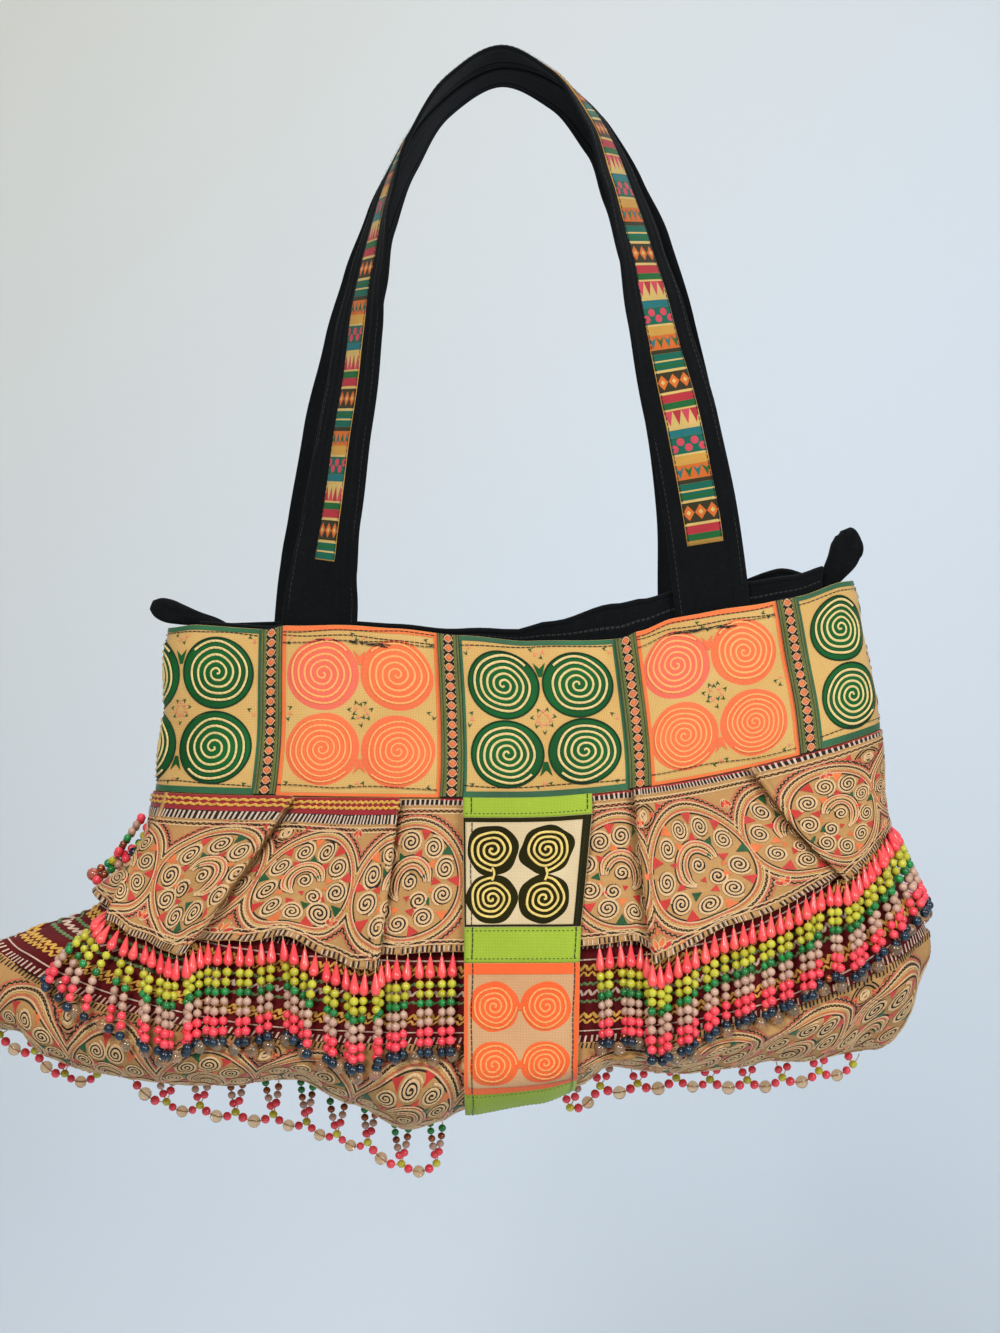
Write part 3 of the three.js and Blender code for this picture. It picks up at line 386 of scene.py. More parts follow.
thread_material("thread_black", lin(26, 24, 24), twist=0.8)
thread_material("thread_pink", lin(212, 104, 80), twist=0.8)
thread_material("thread_gold", lin(222, 176, 84), twist=0.6, rough=0.35, spec=0.6)
thread_material("silk_red", lin(206, 54, 44), twist=0.7, rough=0.5)
thread_material("silk_orange", lin(236, 120, 62), twist=0.7, rough=0.5)
thread_material("silk_green", lin(22, 82, 38), twist=0.7, rough=0.5)
thread_material("silk_salmon", lin(246, 142, 108), twist=0.7, rough=0.5)
thread_material("rick_yellow", lin(222, 168, 72), twist=1.0)
thread_material("rick_green", lin(104, 132, 78), twist=1.0)
thread_material("rick_white", lin(218, 188, 164), twist=1.0)
thread_material("rope_olive", lin(98, 104, 50), twist=1.6)
thread_material("ring_tan", lin(224, 168, 128), twist=0.8)
bead_material("bead_drop", lin(250, 92, 88), lin(238, 66, 74), rough=0.24, inside=0.15)
bead_material("bead_yellow", lin(228, 224, 68), lin(202, 193, 42), rough=0.14, through_light=0.3)
bead_material("bead_green", lin(34, 160, 76), lin(18, 118, 50), rough=0.14, through_light=0.3)
bead_material("bead_beige", lin(202, 164, 142), lin(182, 142, 122), rough=0.22, inside=0.2)
bead_material("bead_coral", lin(248, 78, 90), lin(234, 58, 74), rough=0.18, inside=0.15)
bead_material("bead_navy", lin(10, 44, 62), lin(6, 26, 42), rough=0.16)
bead_material("bead_clear", lin(246, 214, 172), lin(232, 190, 144), rough=0.08, through_light=0.85, coat=0.2)
bead_material("bead_bronze", lin(168, 92, 54), lin(132, 70, 42), rough=0.26, metal=0.75)


# ---------------------------------------------------------------- meshes
PIECES = {}


def piece(name, verts, faces, material, slot, nodes=(), uv=None, smooth_shade=True, solid=0.0):
    verts = np.asarray(verts, float).reshape(-1, 3) * 0.001
    groups = [np.asarray(f, np.int64) for f in (faces if isinstance(faces, list) else [faces]) if len(f)]
    loops = np.concatenate([g.ravel() for g in groups])
    sizes = np.concatenate([np.full(len(g), g.shape[1]) for g in groups])
    me = bpy.data.meshes.new(name)
    me.vertices.add(len(verts))
    me.vertices.foreach_set("co", verts.ravel())
    me.loops.add(len(loops))
    me.loops.foreach_set("vertex_index", loops.astype(np.int32))
    me.polygons.add(len(sizes))
    me.polygons.foreach_set("loop_start", (np.cumsum(sizes) - sizes).astype(np.int32))
    me.polygons.foreach_set("use_smooth", np.full(len(sizes), smooth_shade))
    if uv is not None:
        layer = me.uv_layers.new(name="cloth")
        layer.data.foreach_set("uv", np.asarray(uv, float)[loops].astype(np.float32).ravel())
    me.update(calc_edges=True)
    me.validate()
    me.materials.append(MATS[material])
    ob = bpy.data.objects.new(name, me)
    bpy.context.scene.collection.objects.link(ob)
    if solid:
        mod = ob.modifiers.new("thickness", "SOLIDIFY")
        mod.thickness, mod.offset = solid * 0.001, -1.0
        mod.use_even_offset = False
    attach(ob, "root")
    if nodes:
        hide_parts(*nodes)
    PIECES[name] = ob
    return ob


class Store:
    """Collects small shapes that become one joined piece of one material."""

    def __init__(self):
        self.v, self.f, self.u, self.n = [], {}, [], 0

    def put(self, verts, faces, uv):
        faces = np.asarray(faces)
        if len(faces):
            self.f.setdefault(faces.shape[1], []).append(faces + self.n)
            self.v.append(verts)
            self.u.append(uv)
            self.n += len(verts)

    def make(self, name, material, slot, **kw):
        if self.n == 0:
            return None
        verts, uv = np.concatenate(self.v), np.concatenate(self.u)
        faces = [np.concatenate(x) for x in self.f.values()]
        used = np.unique(np.concatenate([x.ravel() for x in faces]))
        again = np.zeros(len(verts), np.int64)
        again[used] = np.arange(len(used))
        return piece(name, verts[used], [again[x] for x in faces], material, slot, uv=uv[used], **kw)


STORES = {}


def store(name, material, slot):
    return STORES.setdefault(name, (Store(), material, slot))[0]


def grid_faces(nc, nr, closed=False):
    c = np.arange(nc if closed else nc - 1)[:, None]
    r = np.arange(nr - 1)[None, :]
    d = (c + 1) % nc
    return np.stack([c * nr + r, c * nr + r + 1, d * nr + r + 1, d * nr + r], -1).reshape(-1, 4)


class Patch:
    """Cloth as a grid of points [column][row], with the distance along it (s) and down it (h)."""

    def __init__(self, points, s, h, folds=()):
        self.P, self.s, self.h, self.folds = points, np.asarray(s, float), np.asarray(h, float), np.sort(np.asarray(folds, float))
        self.N = unit(np.cross(np.gradient(points, axis=1), np.gradient(points, axis=0)))

    def place(self, s, h):
        C, R = self.P.shape[:2]
        i = np.clip(np.searchsorted(self.s, s, side="right") - 1, 0, C - 2)
        j = np.clip(np.searchsorted(self.h, h, side="right") - 1, 0, R - 2)
        f = np.clip((s - self.s[i]) / np.maximum(self.s[i + 1] - self.s[i], 1e-9), 0, 1)[..., None]
        g = np.clip((h - self.h[j]) / np.maximum(self.h[j + 1] - self.h[j], 1e-9), 0, 1)[..., None]
        mix = lambda A: (A[i, j] * (1 - f) + A[i + 1, j] * f) * (1 - g) + (A[i, j + 1] * (1 - f) + A[i + 1, j + 1] * f) * g
        return mix(self.P), unit(mix(self.N))

    def on(self, pts, off):
        p, n = self.place(pts[..., 0], pts[..., 1])
        return p + n * np.asarray(off)[..., None]

    def cloth(self, name, material, slot, nodes=(), solid=1.4):
        C, R = self.P.shape[:2]
        uv = np.stack(np.broadcast_arrays(self.s[:, None], self.h[None, :]), -1).reshape(-1, 2)
        return piece(name, self.P.reshape(-1, 3), grid_faces(C, R), material, slot, nodes, uv, solid=solid)

    def keep(self, pts, faces, clip):
        """Faces that lie on this cloth and don't bridge a fold."""
        s, h = pts[:, 0][faces], pts[:, 1][faces]
        lo, hi, top, low = clip if clip else (self.s[0], self.s[-1], self.h[0], self.h[-1])
        ok = (s.min(1) >= max(lo, self.s[0]) - 0.01) & (s.max(1) <= min(hi, self.s[-1]) + 0.01) & (h.min(1) >= max(top, self.h[0]) - 0.01) & (h.max(1) <= min(low, self.h[-1]) + 0.01)
        if len(self.folds):
            ok &= np.searchsorted(self.folds, s.min(1)) == np.searchsorted(self.folds, s.max(1))
        return faces[ok]


def ribbon(st, patch, pts, width, rise=0.0, off=0.15, closed=False, clip=None):
    """A line of thread or cord on a cloth: flat, or half round where rise is given."""
    pts = np.asarray(pts, float)
    if closed:
        d = np.roll(pts, -1, 0) - np.roll(pts, 1, 0)
    else:
        d = np.gradient(pts, axis=0)
    d = unit(d)
    side = np.stack([-d[:, 1], d[:, 0]], -1) * (np.asarray(width) / 2.0 if np.ndim(width) == 0 else np.asarray(width)[:, None] / 2.0)
    n = len(pts)
    lanes = [pts + side, pts, pts - side] if rise else [pts + side, pts - side]
    k = len(lanes)
    flat = np.stack(lanes, 1).reshape(-1, 2)
    up = np.tile(np.array([off, off + rise, off]) if rise else np.array([off, off]), n)
    length = np.concatenate([[0], np.cumsum(np.linalg.norm(np.diff(pts, axis=0), axis=1))])
    w = float(np.mean(width))
    across = np.linspace(0, w, k)
    uv = np.stack(np.broadcast_arrays(length[:, None], across[None, :]), -1).reshape(-1, 2) + np.array([pts[0].sum() * 3.1 % 50, 0])
    faces = grid_faces(n, k, closed)[:, ::-1]
    st.put(patch.on(flat, up), patch.keep(flat, faces, clip), uv)


def fan(st, patch, outline, off=0.25, dome=0.4, clip=None):
    """A small filled shape, a little raised in its middle."""
    outline = np.asarray(outline, float)
    n = len(outline)
    flat = np.vstack([outline, outline.mean(0)])
    faces = np.stack([np.arange(n), (np.arange(n) + 1) % n, np.full(n, n)], -1)
    area = np.sum(outline[:, 0] * np.roll(outline[:, 1], -1) - outline[:, 1] * np.roll(outline[:, 0], -1))
    if area > 0:
        faces = faces[:, ::-1]
    st.put(patch.on(flat, np.r_[np.full(n, off), off + dome]), patch.keep(flat, faces, clip), flat)


def disc(st, patch, centre, radius, off=0.25, dome=0.5, rings=5, sides=28, rough=0.0, seed=0, clip=None, squash=(1, 1), lobes_of=(2, 3, 5, 7)):
    """A round cut of cloth with an edge that is a little uneven."""
    r = np.random.default_rng(seed)
    a = np.arange(sides) / sides * 2 * PI
    edge = 1 + rough * np.sum([r.uniform(-1, 1) * np.cos(k * a + r.uniform(0, 6)) for k in lobes_of], 0) / 2 if rough else np.ones(sides)
    rr = np.linspace(1, 0, rings + 1)[:-1]
    flat = np.concatenate([centre + radius * q * (edge * q + (1 - q))[:, None] * np.stack([np.cos(a) * squash[0], np.sin(a) * squash[1]], -1) for q in rr] + [np.asarray(centre, float)[None]])
    up = np.concatenate([np.full(sides, off + dome * (1 - q ** 3)) for q in rr] + [[off + dome]])
    up[:sides] -= 0.35
    quads = []
    for k in range(rings - 1):
        i = np.arange(sides)
        j = (i + 1) % sides
        quads.append(np.stack([k * sides + i, (k + 1) * sides + i, (k + 1) * sides + j, k * sides + j], -1))
    i = np.arange(sides)
    tri = np.stack([(rings - 1) * sides + i, np.full(sides, len(flat) - 1), (rings - 1) * sides + (i + 1) % sides], -1)
    pts = patch.on(flat, up)
    st.put(pts, patch.keep(flat, np.concatenate(quads), clip), flat)
    st.put(pts, patch.keep(flat, tri, clip), flat)


def rect(st, patch, s0, s1, h0, h1, off=0.2, step=3.0, skew=0.0, clip=None):
    """A strip of cloth laid on a cloth."""
    n, m = max(2, int(abs(s1 - s0) / step) + 1), max(2, int(abs(h1 - h0) / step) + 1)
    s = np.linspace(s0, s1, n)[:, None]
    h = np.linspace(h0, h1, m)[None, :]
    flat = np.stack(np.broadcast_arrays(s + skew * (h - h0), h), -1).reshape(-1, 2)
    st.put(patch.on(flat, np.full(len(flat), off)), patch.keep(flat, grid_faces(n, m), clip), flat)


def spiral(radius, turns, step, start=0.0, way=1, inner=0.3, squash=(1, 1), wobble=0.0, seed=0):
    n = max(int(PI * radius * turns / step), 16)
    f = np.linspace(0, 1, n) ** 0.62
    a = start + way * 2 * PI * turns * f
    r = inner + (radius - inner) * f
    if wobble:
        g = np.random.default_rng(seed)
        r = r * (1 + wobble * np.sin(3 * a + g.uniform(0, 6)) + wobble * np.sin(5 * a + g.uniform(0, 6)))
    return np.stack([r * np.cos(a) * squash[0], r * np.sin(a) * squash[1]], -1)


def wavy(pts, amp, period, phase=0.0, closed=False):
    pts = np.asarray(pts, float)
    d = unit(np.roll(pts, -1, 0) - np.roll(pts, 1, 0) if closed else np.gradient(pts, axis=0))
    length = np.concatenate([[0], np.cumsum(np.linalg.norm(np.diff(pts, axis=0), axis=1))])
    if closed:
        total = length[-1] + np.linalg.norm(pts[0] - pts[-1])
        period = total / max(round(total / period), 1)
    return pts + np.stack([-d[:, 1], d[:, 0]], -1) * (amp * np.sin(2 * PI * length / period + phase))[:, None]


def line(a, b, step=2.0):
    a, b = np.asarray(a, float), np.asarray(b, float)
    n = max(2, int(np.linalg.norm(b - a) / step) + 1)
    return a + (b - a) * np.linspace(0, 1, n)[:, None]


def dashes(st, patch, pts, dash, gap, width, off=0.3, rise=0.0, clip=None):
    """Stitches along a line."""
    length = np.concatenate([[0], np.cumsum(np.linalg.norm(np.diff(pts, axis=0), axis=1))])
    a = 0.0
    while a + dash < length[-1]:
        q = np.linspace(a, a + dash, 3)
        ribbon(st, patch, np.stack([np.interp(q, length, pts[:, 0]), np.interp(q, length, pts[:, 1])], -1), width, rise, off, clip=clip)
        a += dash + gap


def ladder(st, patch, s0, s1, h0, h1, pitch, width, off=0.3, seed=0, clip=None, rise=0.25):
    r = np.random.default_rng(seed)
    n = int((s1 - s0) / pitch)
    for k in range(n):
        s = s0 + pitch * (k + 0.5) + r.uniform(-0.2, 0.2)
        ribbon(st, patch, line((s, h0 + r.uniform(-0.3, 0.3)), (s + r.uniform(-0.3, 0.3), h1 + r.uniform(-0.3, 0.3)), 2.5), width, rise, off, clip=clip)


# ---------------------------------------------------------------- the yoke
LOOP = np.linspace(0, 2 * PI, 1441)
loop_points = form(LOOP, 0.5)
LOOP_LENGTH = np.concatenate([[0], np.cumsum(np.linalg.norm(np.diff(loop_points, axis=0), axis=1))])
YOKE_LENGTH = LOOP_LENGTH[-1]
STRIP, PITCH, FIRST, LAST_IN = 11.0, 100.5, 77.0, 5.5
REST = (YOKE_LENGTH - 3 * PITCH) / 5


def yoke_angle(length):
    return np.interp(np.mod(length, YOKE_LENGTH), LOOP_LENGTH, LOOP)


def strip_at(k):
    return FIRST + min(k, 3) * PITCH + max(k - 3, 0) * REST - (LAST_IN if k == 3 else 0)


def yoke_patch(s0, s1, cols, rows, puff, seed, lift=0.0):
    s, v = np.linspace(s0, s1, cols), np.linspace(0.0, 0.996, rows)
    t = yoke_angle(s)
    u, w = np.linspace(0, 1, cols)[:, None], np.linspace(0, 1, rows)[None, :]
    off = lift + puff * (np.minimum(1, 6 * u * (1 - u)) * np.minimum(1, 6 * w * (1 - w)) - 1) + waves(s[:, None], w * 88, 40, 55, 0.7) * smooth(4 * w * (1 - w))
    p = at(t[:, None], v[None, :], off)
    height = np.concatenate([[0], np.cumsum(np.linalg.norm(np.diff(p[cols // 2], axis=0), axis=1))])
    length = np.concatenate([[0], np.cumsum(np.linalg.norm(np.diff(p[:, rows // 2], axis=0), axis=1))])
    return Patch(p, length, height)


NAMES = ("orange_front_left", "green_front", "orange_front_right", "green_right", "orange_back_right", "green_back", "orange_back_left", "green_left")
AWRY = {"orange_front_right": -2.0, "green_right": -3.0}  # patches whose discs were sewn off centre


def bridge(body, p, mid, y, way):
    """Two discs joined by a small fork of cloth; way is the side that the fork opens to."""
    fan(body, p, [(mid - 3.4, y + way * 5.0), (mid, y + way * 1.6), (mid + 3.4, y + way * 5.0), (mid + 1.0, y - way * 3.0), (mid - 1.0, y - way * 3.0)], 0.4, 0.15)


for k, name in enumerate(NAMES):
    green = name.startswith("green")
    slot = "spiral_green" if green else "spiral_orange"
    a, b = strip_at(k) + STRIP / 2, strip_at(k + 1) - STRIP / 2
    p = yoke_patch(a, b, 44, 34, 1.0, k)
    W, H = p.s[-1], p.h[-1]
    ob = p.cloth("cloth_yoke_" + name, "yoke_cream", slot, ["yoke_" + name])
    # the patch's frame
    st = store("yoke_edges_green", "green_satin", slot) if green else store("yoke_edges_orange", "orange_frame", slot)
    rect(st, p, 0.2, W - 0.2, 0.2, 2.8 if green else 3.0, 0.35)
    rect(st, p, 0.2, W - 0.2, H - (3.6 if green else 1.8), H - 0.2, 0.35)
    rect(st, p, 0.2, 2.3 if green else 2.8, 0.2, H - 0.2, 0.30)
    rect(st, p, W - (2.3 if green else 2.8), W - 0.2, 0.2, H - 0.2, 0.30)
    stitch = store("yoke_stitching", "thread_black", slot)
    for q, hh in enumerate((4.2, H - 6.0) if green else (2.6, 6.2, 9.0, H - 5.6)):
        ln = line((1.0, hh), (W - 1.0, hh), 2.0)
        ln[:, 1] += waves(ln[:, 0], 0 * ln[:, 0], 90 + 5 * k + q, 50, 0.8) + (0.02 if q % 2 else -0.015) * (ln[:, 0] - W / 2)
        dashes(stitch, p, ln, 2.3, 0.6, 0.5, 1.15 if not green and q > 1 else 0.6, 0.2)
    if not green:
        # a clump of hand stitches at the top
        g = np.random.default_rng(300 + k)
        for _ in range(12):
            s0 = W * 0.40 + g.uniform(-16, 22)
            ribbon(stitch, p, line((s0, 9.4 + 0.03 * (s0 - W * 0.4) + g.uniform(-0.9, 0.9)), (s0 + g.uniform(3, 8), 9.6 + 0.03 * (s0 - W * 0.4) + g.uniform(-0.9, 1.0)), 2.0), 0.6, 0.35, 1.3)
    # discs and their cords
    cols = int(round(W / 45.5))
    cols = max(2, cols - cols % 2) if W < 200 else 4
    top_h, low_h = 6.0, H - 4.8
    cell_w, cell_h = (W - 6.0) / cols, (low_h - top_h) / 2
    radius = min(cell_w / 2 - 0.6, cell_h / 2 - 0.5)
    first = 3.0 + AWRY.get(name, 0.0)
    cord = store("yoke_cords_" + ("green" if green else "orange"), "cord_cream" if green else "cord_gold", slot)
    for c in range(cols):
        for r in range(2):
            g = np.random.default_rng(1000 + 40 * k + 4 * c + r)
            body = store("yoke_discs_green", "green_applique", slot) if green else store("yoke_discs_" + ("pink" if r == 0 and c % 2 == 0 else "orange"), "pink_applique" if r == 0 and c % 2 == 0 else "orange_applique", slot)
            centre = np.array([first + cell_w * (c + 0.5) + g.uniform(-0.4, 0.4), top_h + cell_h * (r + 0.5) + g.uniform(-0.5, 0.5)])
            wide = min(cell_w / 2 - 0.15, radius * 1.07) / radius
            disc(body, p, centre, radius, 0.3, 0.7, 6, 44, 0.02, 7 * k + 3 * c + r, squash=(wide, 1))
            rim = np.arange(60) / 60 * 2 * PI
            # dark green rim at each green disc's edge: partly the disc's own dark outline, partly painted shade of its
            # turned edge
            if green:
                ribbon(store("yoke_rims_green", "green_deep", slot), p, centre + (radius - 0.3) * np.stack([wide * np.cos(rim), np.sin(rim)], -1), 0.9, 0.2, 0.42, closed=True)
            turns = g.uniform(4.4, 4.9) if green else (g.uniform(4.8, 5.4) if r == 0 else g.uniform(5.6, 6.4))
            way = 1 if (c + r) % 2 == 0 else -1
            end = {(0, 0): -0.75, (1, 0): PI + 0.75, (0, 1): 0.75, (1, 1): PI - 0.75}[(c % 2, r)]
            pts = spiral(radius - (2.2 if green else 2.0), turns, 1.7, end - way * 2 * PI * turns, way, 0.7, (wide, 1), wobble=0.012, seed=9 * k + 2 * c + r)
            # painted shade: a dark green band under the cord, wider than it, so a dark line shows on both sides of the
            # cord
            if green:
                ribbon(store("yoke_rims_green", "green_deep", slot), p, centre + pts, 2.2, 0.05, 0.84)
            ribbon(cord, p, centre + pts, 1.35 if green else (1.15 if r == 0 else 0.95), 0.8 if green else 0.6, 0.9)
        if c % 2 == 0:
            mid = first + cell_w * (c + 1)
            for r in range(2):
                way = -1 if r == 0 else 1
                bridge(store("yoke_discs_green", "green_applique", slot) if green else store("yoke_discs_orange", "orange_applique", slot), p, mid, top_h + cell_h * (0.5 + r) + way * radius * 0.40, way)
    # tufts of thread between the discs
    for c in range(cols + 1):
        cx = first + cell_w * c
        for r in range(3):
            cy = top_h + cell_h * r
            inner = 0 < c < cols and r == 1
            count = 14 if inner else 6
            for q in range(count):
                g = np.random.default_rng(5000 + 200 * k + 20 * c + 7 * r + q)
                ang = 2 * PI * q / count + 0.2
                # the tufts stand on a diamond
                reach = ((7.2 if q % 2 else 4.0) if inner else (4.6 if q % 2 else 3.0)) / (abs(math.cos(ang)) + abs(math.sin(ang)))
                x, y = cx + reach * math.cos(ang), cy + reach * math.sin(ang)
                if not (4.0 < x < W - 4.0 and 4.5 < y < H - 4.5):
                    continue
                warm = (q % 2 == 0) if green else (q % 2 == 0 and q % 4 == 0)
                st = store("yoke_tufts_warm" if warm else "yoke_tufts_green", "silk_salmon" if warm else "silk_green", slot)
                turn = ang + g.uniform(-0.6, 0.6)
                tip = np.array([x, y]) + 1.7 * np.array([math.cos(turn), math.sin(turn)])
                for spread in (2.2, -2.2):
                    end_pt = tip + 3.0 * np.array([math.cos(turn + PI + spread * 0.2), math.sin(turn + PI + spread * 0.2)])
                    mid_pt = (tip + end_pt) / 2 + 0.85 * np.array([-math.sin(turn), math.cos(turn)]) * np.sign(spread)
                    fan(st, p, [tip, mid_pt, end_pt, (tip + end_pt) / 2 - 0.1 * np.array([-math.sin(turn), math.cos(turn)]) * np.sign(spread)], 0.35, 0.3)
    # the ribbon before this patch
    sp = yoke_patch(strip_at(k) - STRIP / 2 - 0.6, strip_at(k) + STRIP / 2 + 0.6, 9, 34, 0.3, 60 + k, 0.9)
    W2, H2 = sp.s[-1], sp.h[-1]
    ob = sp.cloth("ribbon_" + str(k + 1), "strip_black", "ribbon", ["yoke_strip_" + str(k + 1)], solid=1.6)
    for s0, width in ((0.8, 1.2), (2.5, 1.7), (W2 - 2.5, 1.7), (W2 - 0.8, 1.2)):
        ribbon(store("ribbon_ropes", "rope_olive", "ribbon"), sp, line((s0, 0.4), (s0, H2 - 0.4), 1.6), width, 0.6, 0.15)
    for s0 in (3.55, W2 - 3.55):
        dashes(store("ribbon_glints", "thread_gold", "ribbon"), sp, line((s0, 0.6), (s0, H2 - 0.6), 2.0), 0.9, 1.5, 0.35, 0.3, 0.2)
    count = 17
    for q in range(count):
        cy = (q + 0.5) * H2 / count
        a8 = np.arange(12) / 12 * 2 * PI
        lozenge = 1 / (np.abs(np.cos(a8)) ** 1.35 + np.abs(np.sin(a8)) ** 1.35) ** (1 / 1.35)
        shape = np.stack([np.cos(a8) * lozenge, np.sin(a8) * lozenge], -1)
        fan(store("ribbon_diamonds", "silk_orange", "ribbon"), sp, np.array([W2 / 2, cy]) + shape * (1.55, 1.5), 0.3, 0.5)
        ribbon(store("ribbon_rings", "ring_tan", "ribbon"), sp, np.array([W2 / 2, cy]) + shape * (2.15, 2.05), 0.75, 0.45, 0.3, closed=True)

# ---------------------------------------------------------------- facing, with a rolled edge
for side in ("front", "back"):
    cols, rows = 90, 16
    t = (0 if side == "front" else PI) + np.linspace(0.44, PI - 0.44, cols)
    base = np.linspace(0, 0.5, rows - 4)
    off = -8.4 + waves(np.linspace(0, 300, cols)[:, None], np.zeros((1, rows)), 21, 70, 0.6)
    lower_rows = at(t[:, None], base[None, :], off[:, : rows - 4])
    rise = along_x(FACING_RISE, lower_rows[:, 0, 0]) if side == "front" else np.full(cols, 2.0)
    rim = np.stack([lower_rows[:, 0] + np.stack([0 * rise, 0 * rise, rise * f], -1) for f in (1, 0.75, 0.5, 0.25)], 1)
    pts = np.concatenate([rim, lower_rows], 1)
    s = np.concatenate([[0], np.cumsum(np.linalg.norm(np.diff(pts[:, rows // 2], axis=0), axis=1))])
    h = np.concatenate([[0], np.cumsum(np.linalg.norm(np.diff(pts[cols // 2], axis=0), axis=1))])
    fp = Patch(pts, s, h)
    ob = fp.cloth("cloth_facing_" + side, "black_cotton", "black_cotton", ["facing_" + side], 1.5)
    # rolled edge: a tube along the rim
    axis = pts[:, 0]
    n1 = fp.N[:, 0]
    up = np.tile(np.array([0, 0, 1.0]), (cols, 1))
    q = np.arange(8) / 8 * 2 * PI
    ring = axis[:, None] + n1[:, None] * (np.cos(q) * 1.7 - 0.7)[None, :, None] + up[:, None] * (np.sin(q) * 1.6 - 0.6)[None, :, None]
    uv = np.stack(np.broadcast_arrays(s[:, None], (np.arange(8) * 1.3)[None, :]), -1).reshape(-1, 2)
    faces = np.concatenate([np.stack([c * 8 + np.arange(8), c * 8 + (np.arange(8) + 1) % 8, (c + 1) * 8 + (np.arange(8) + 1) % 8, (c + 1) * 8 + np.arange(8)], -1) for c in range(cols - 1)])
    piece("facing_hem_" + side, ring.reshape(-1, 3), faces, "black_cotton", "black_cotton", uv=uv)
    dashes(store("black_stitching", "thread_black", "black_cotton"), fp, line((1, 4.2), (s[-1] - 1, 4.2), 3), 2.2, 0.8, 0.5, 0.2, 0.2)

# ---------------------------------------------------------------- tabs at the ends of the mouth
TABS = {
    "left": np.array([(-146, -3, -325, 2, 3), (-160, -3, -317, 3, 4), (-172, -3, -313, 4, 4.5), (-181, -4, -310.5, 4.5, 6), (-188, -4, -308.5, 5, 7), (-194, -4, -306.5, 4.5, 6), (-198, -4, -305, 2, 2.8)], float),
    "right": np.array([(176, -4, -306, 2, 2.5), (183, -4, -296, 3.5, 4.5), (190, -4, -286, 5, 7), (195, -4, -278, 6, 9), (197, -4, -271, 6, 9), (197, -4, -265, 5, 6.5), (196, -4, -262, 2.5, 3)], float),
}
for side, rows in TABS.items():
    n, m = 44, 32
    v = np.linspace(0, len(rows) - 1, n)
    mid, wide, high = np.stack([through(rows[:, i], v) for i in range(3)], -1), through(rows[:, 3], v), through(rows[:, 4], v)
    along = unit(np.gradient(mid, axis=0))
    deep = np.array([0, 1.0, 0])
    up = unit(np.cross(along, deep))
    q = np.arange(m) / m * 2 * PI
    # flattened cloth: square edges, and two folds that run along it
    c4, s4 = np.cos(q), np.sin(q)
    square = 1 / (np.abs(c4) ** 3.2 + np.abs(s4) ** 3.2) ** (1 / 3.2)
    dent = lambda a, w, d: d * np.exp(-(((q[None, :] - a) / w) ** 2))
    drift = 0.35 * np.sin(v[:, None] * 1.3)
    shape = 0.97 * square[None, :] - dent(3.55 + drift, 0.16, 0.22) - dent(2.6 - drift, 0.2, 0.16) - dent(5.9 + drift, 0.2, 0.12)
    ring = mid[:, None] + deep * (c4[None, :] * wide[:, None] * shape)[..., None] + up[:, None] * (s4[None, :] * high[:, None] * shape)[..., None]
    pts = np.concatenate([ring.reshape(-1, 3), mid[:1], mid[-1:]])
    uv = np.concatenate([np.stack(np.broadcast_arrays((v * 12)[:, None], (q * 5)[None, :]), -1).reshape(-1, 2), [[0, 0], [80, 0]]])
    i = np.arange(m)
    j = (i + 1) % m
    quads = np.concatenate([np.stack([c * m + i, c * m + j, (c + 1) * m + j, (c + 1) * m + i], -1) for c in range(n - 1)])
    tris = np.concatenate([np.stack([j, i, np.full(m, n * m)], -1), np.stack([(n - 1) * m + i, (n - 1) * m + j, np.full(m, n * m + 1)], -1)])
    piece("tab_" + side, pts, [quads, tris], "black_cotton", "black_cotton", ["end_tab_" + side], uv)
# the right tab's cloth ends in a roll that is open at its middle
n = 54
a = np.linspace(-0.6, 3.1 * PI, n)
r = np.linspace(6.6, 2.3, n)
path = np.stack([201.0 + r * np.sin(a) * 0.86, np.zeros(n), -273.5 + r * np.cos(a) * 1.25], -1)
path = np.vstack([np.linspace((196.0, 0, -262.4), path[0], 6)[:-1], path])
length = np.concatenate([[0], np.cumsum(np.linalg.norm(np.diff(path, axis=0), axis=1))])
depth = np.linspace(-8.5, 3.5, 9)
pts = np.broadcast_to(path[:, None], (len(path), 9, 3)).copy()
pts[..., 1] = depth[None, :] + 0.9 * np.sin(length / 6)[:, None]
roll = Patch(pts[:, ::-1], length, depth - depth[0])
roll.cloth("tab_roll_right", "black_cotton", "black_cotton", solid=1.5)

# ---------------------------------------------------------------- straps
STRAPS = {
    "front": (-1, -101, 119, ((-97, -38, -287, 24), (-93, -38, -258, 34), (-86, -36, -206, 42), (-79, -33, -155, 48), (-74, -31, -121, 58), (-66, -28, -84, 71), (-52, -26, -47, 80), (-29, -26, -15, 88), (0, -26, 1.2, 90), (30, -26, -9, 82), (53, -26, -36, 68), (66, -28, -68, 58), (77, -30, -105, 48), (87, -33, -146, 33), (101, -37, -204, 12), (111, -40, -256, 4))),
    "back": (1, -110, 113, ((-107, 25, -282, 20), (-104, 26, -256, 30), (-97, 26, -206, 40), (-87, 24, -155, 48), (-78, 21, -118, 58), (-68, 19, -84, 70), (-53, 17.5, -49, 80), (-30, 17.5, -17, 88), (0, 17.5, 1.2, 90), (32, 17.5, -10, 84), (57, 18, -36, 72), (71, 20, -66, 60), (83, 22, -98, 48), (94, 25, -142, 34), (106, 27, -202, 18), (112, 27, -254, 8))),
}
STRAP_IN, STRAP_FOOT, STRAP_WIDTH, STRAP_HALF = 5.3, 0.36, 42.0, 1.1
TRIM_WIDTHS = (12.5, 20.5)  # the printed ribbon's showing width at its left and right ends


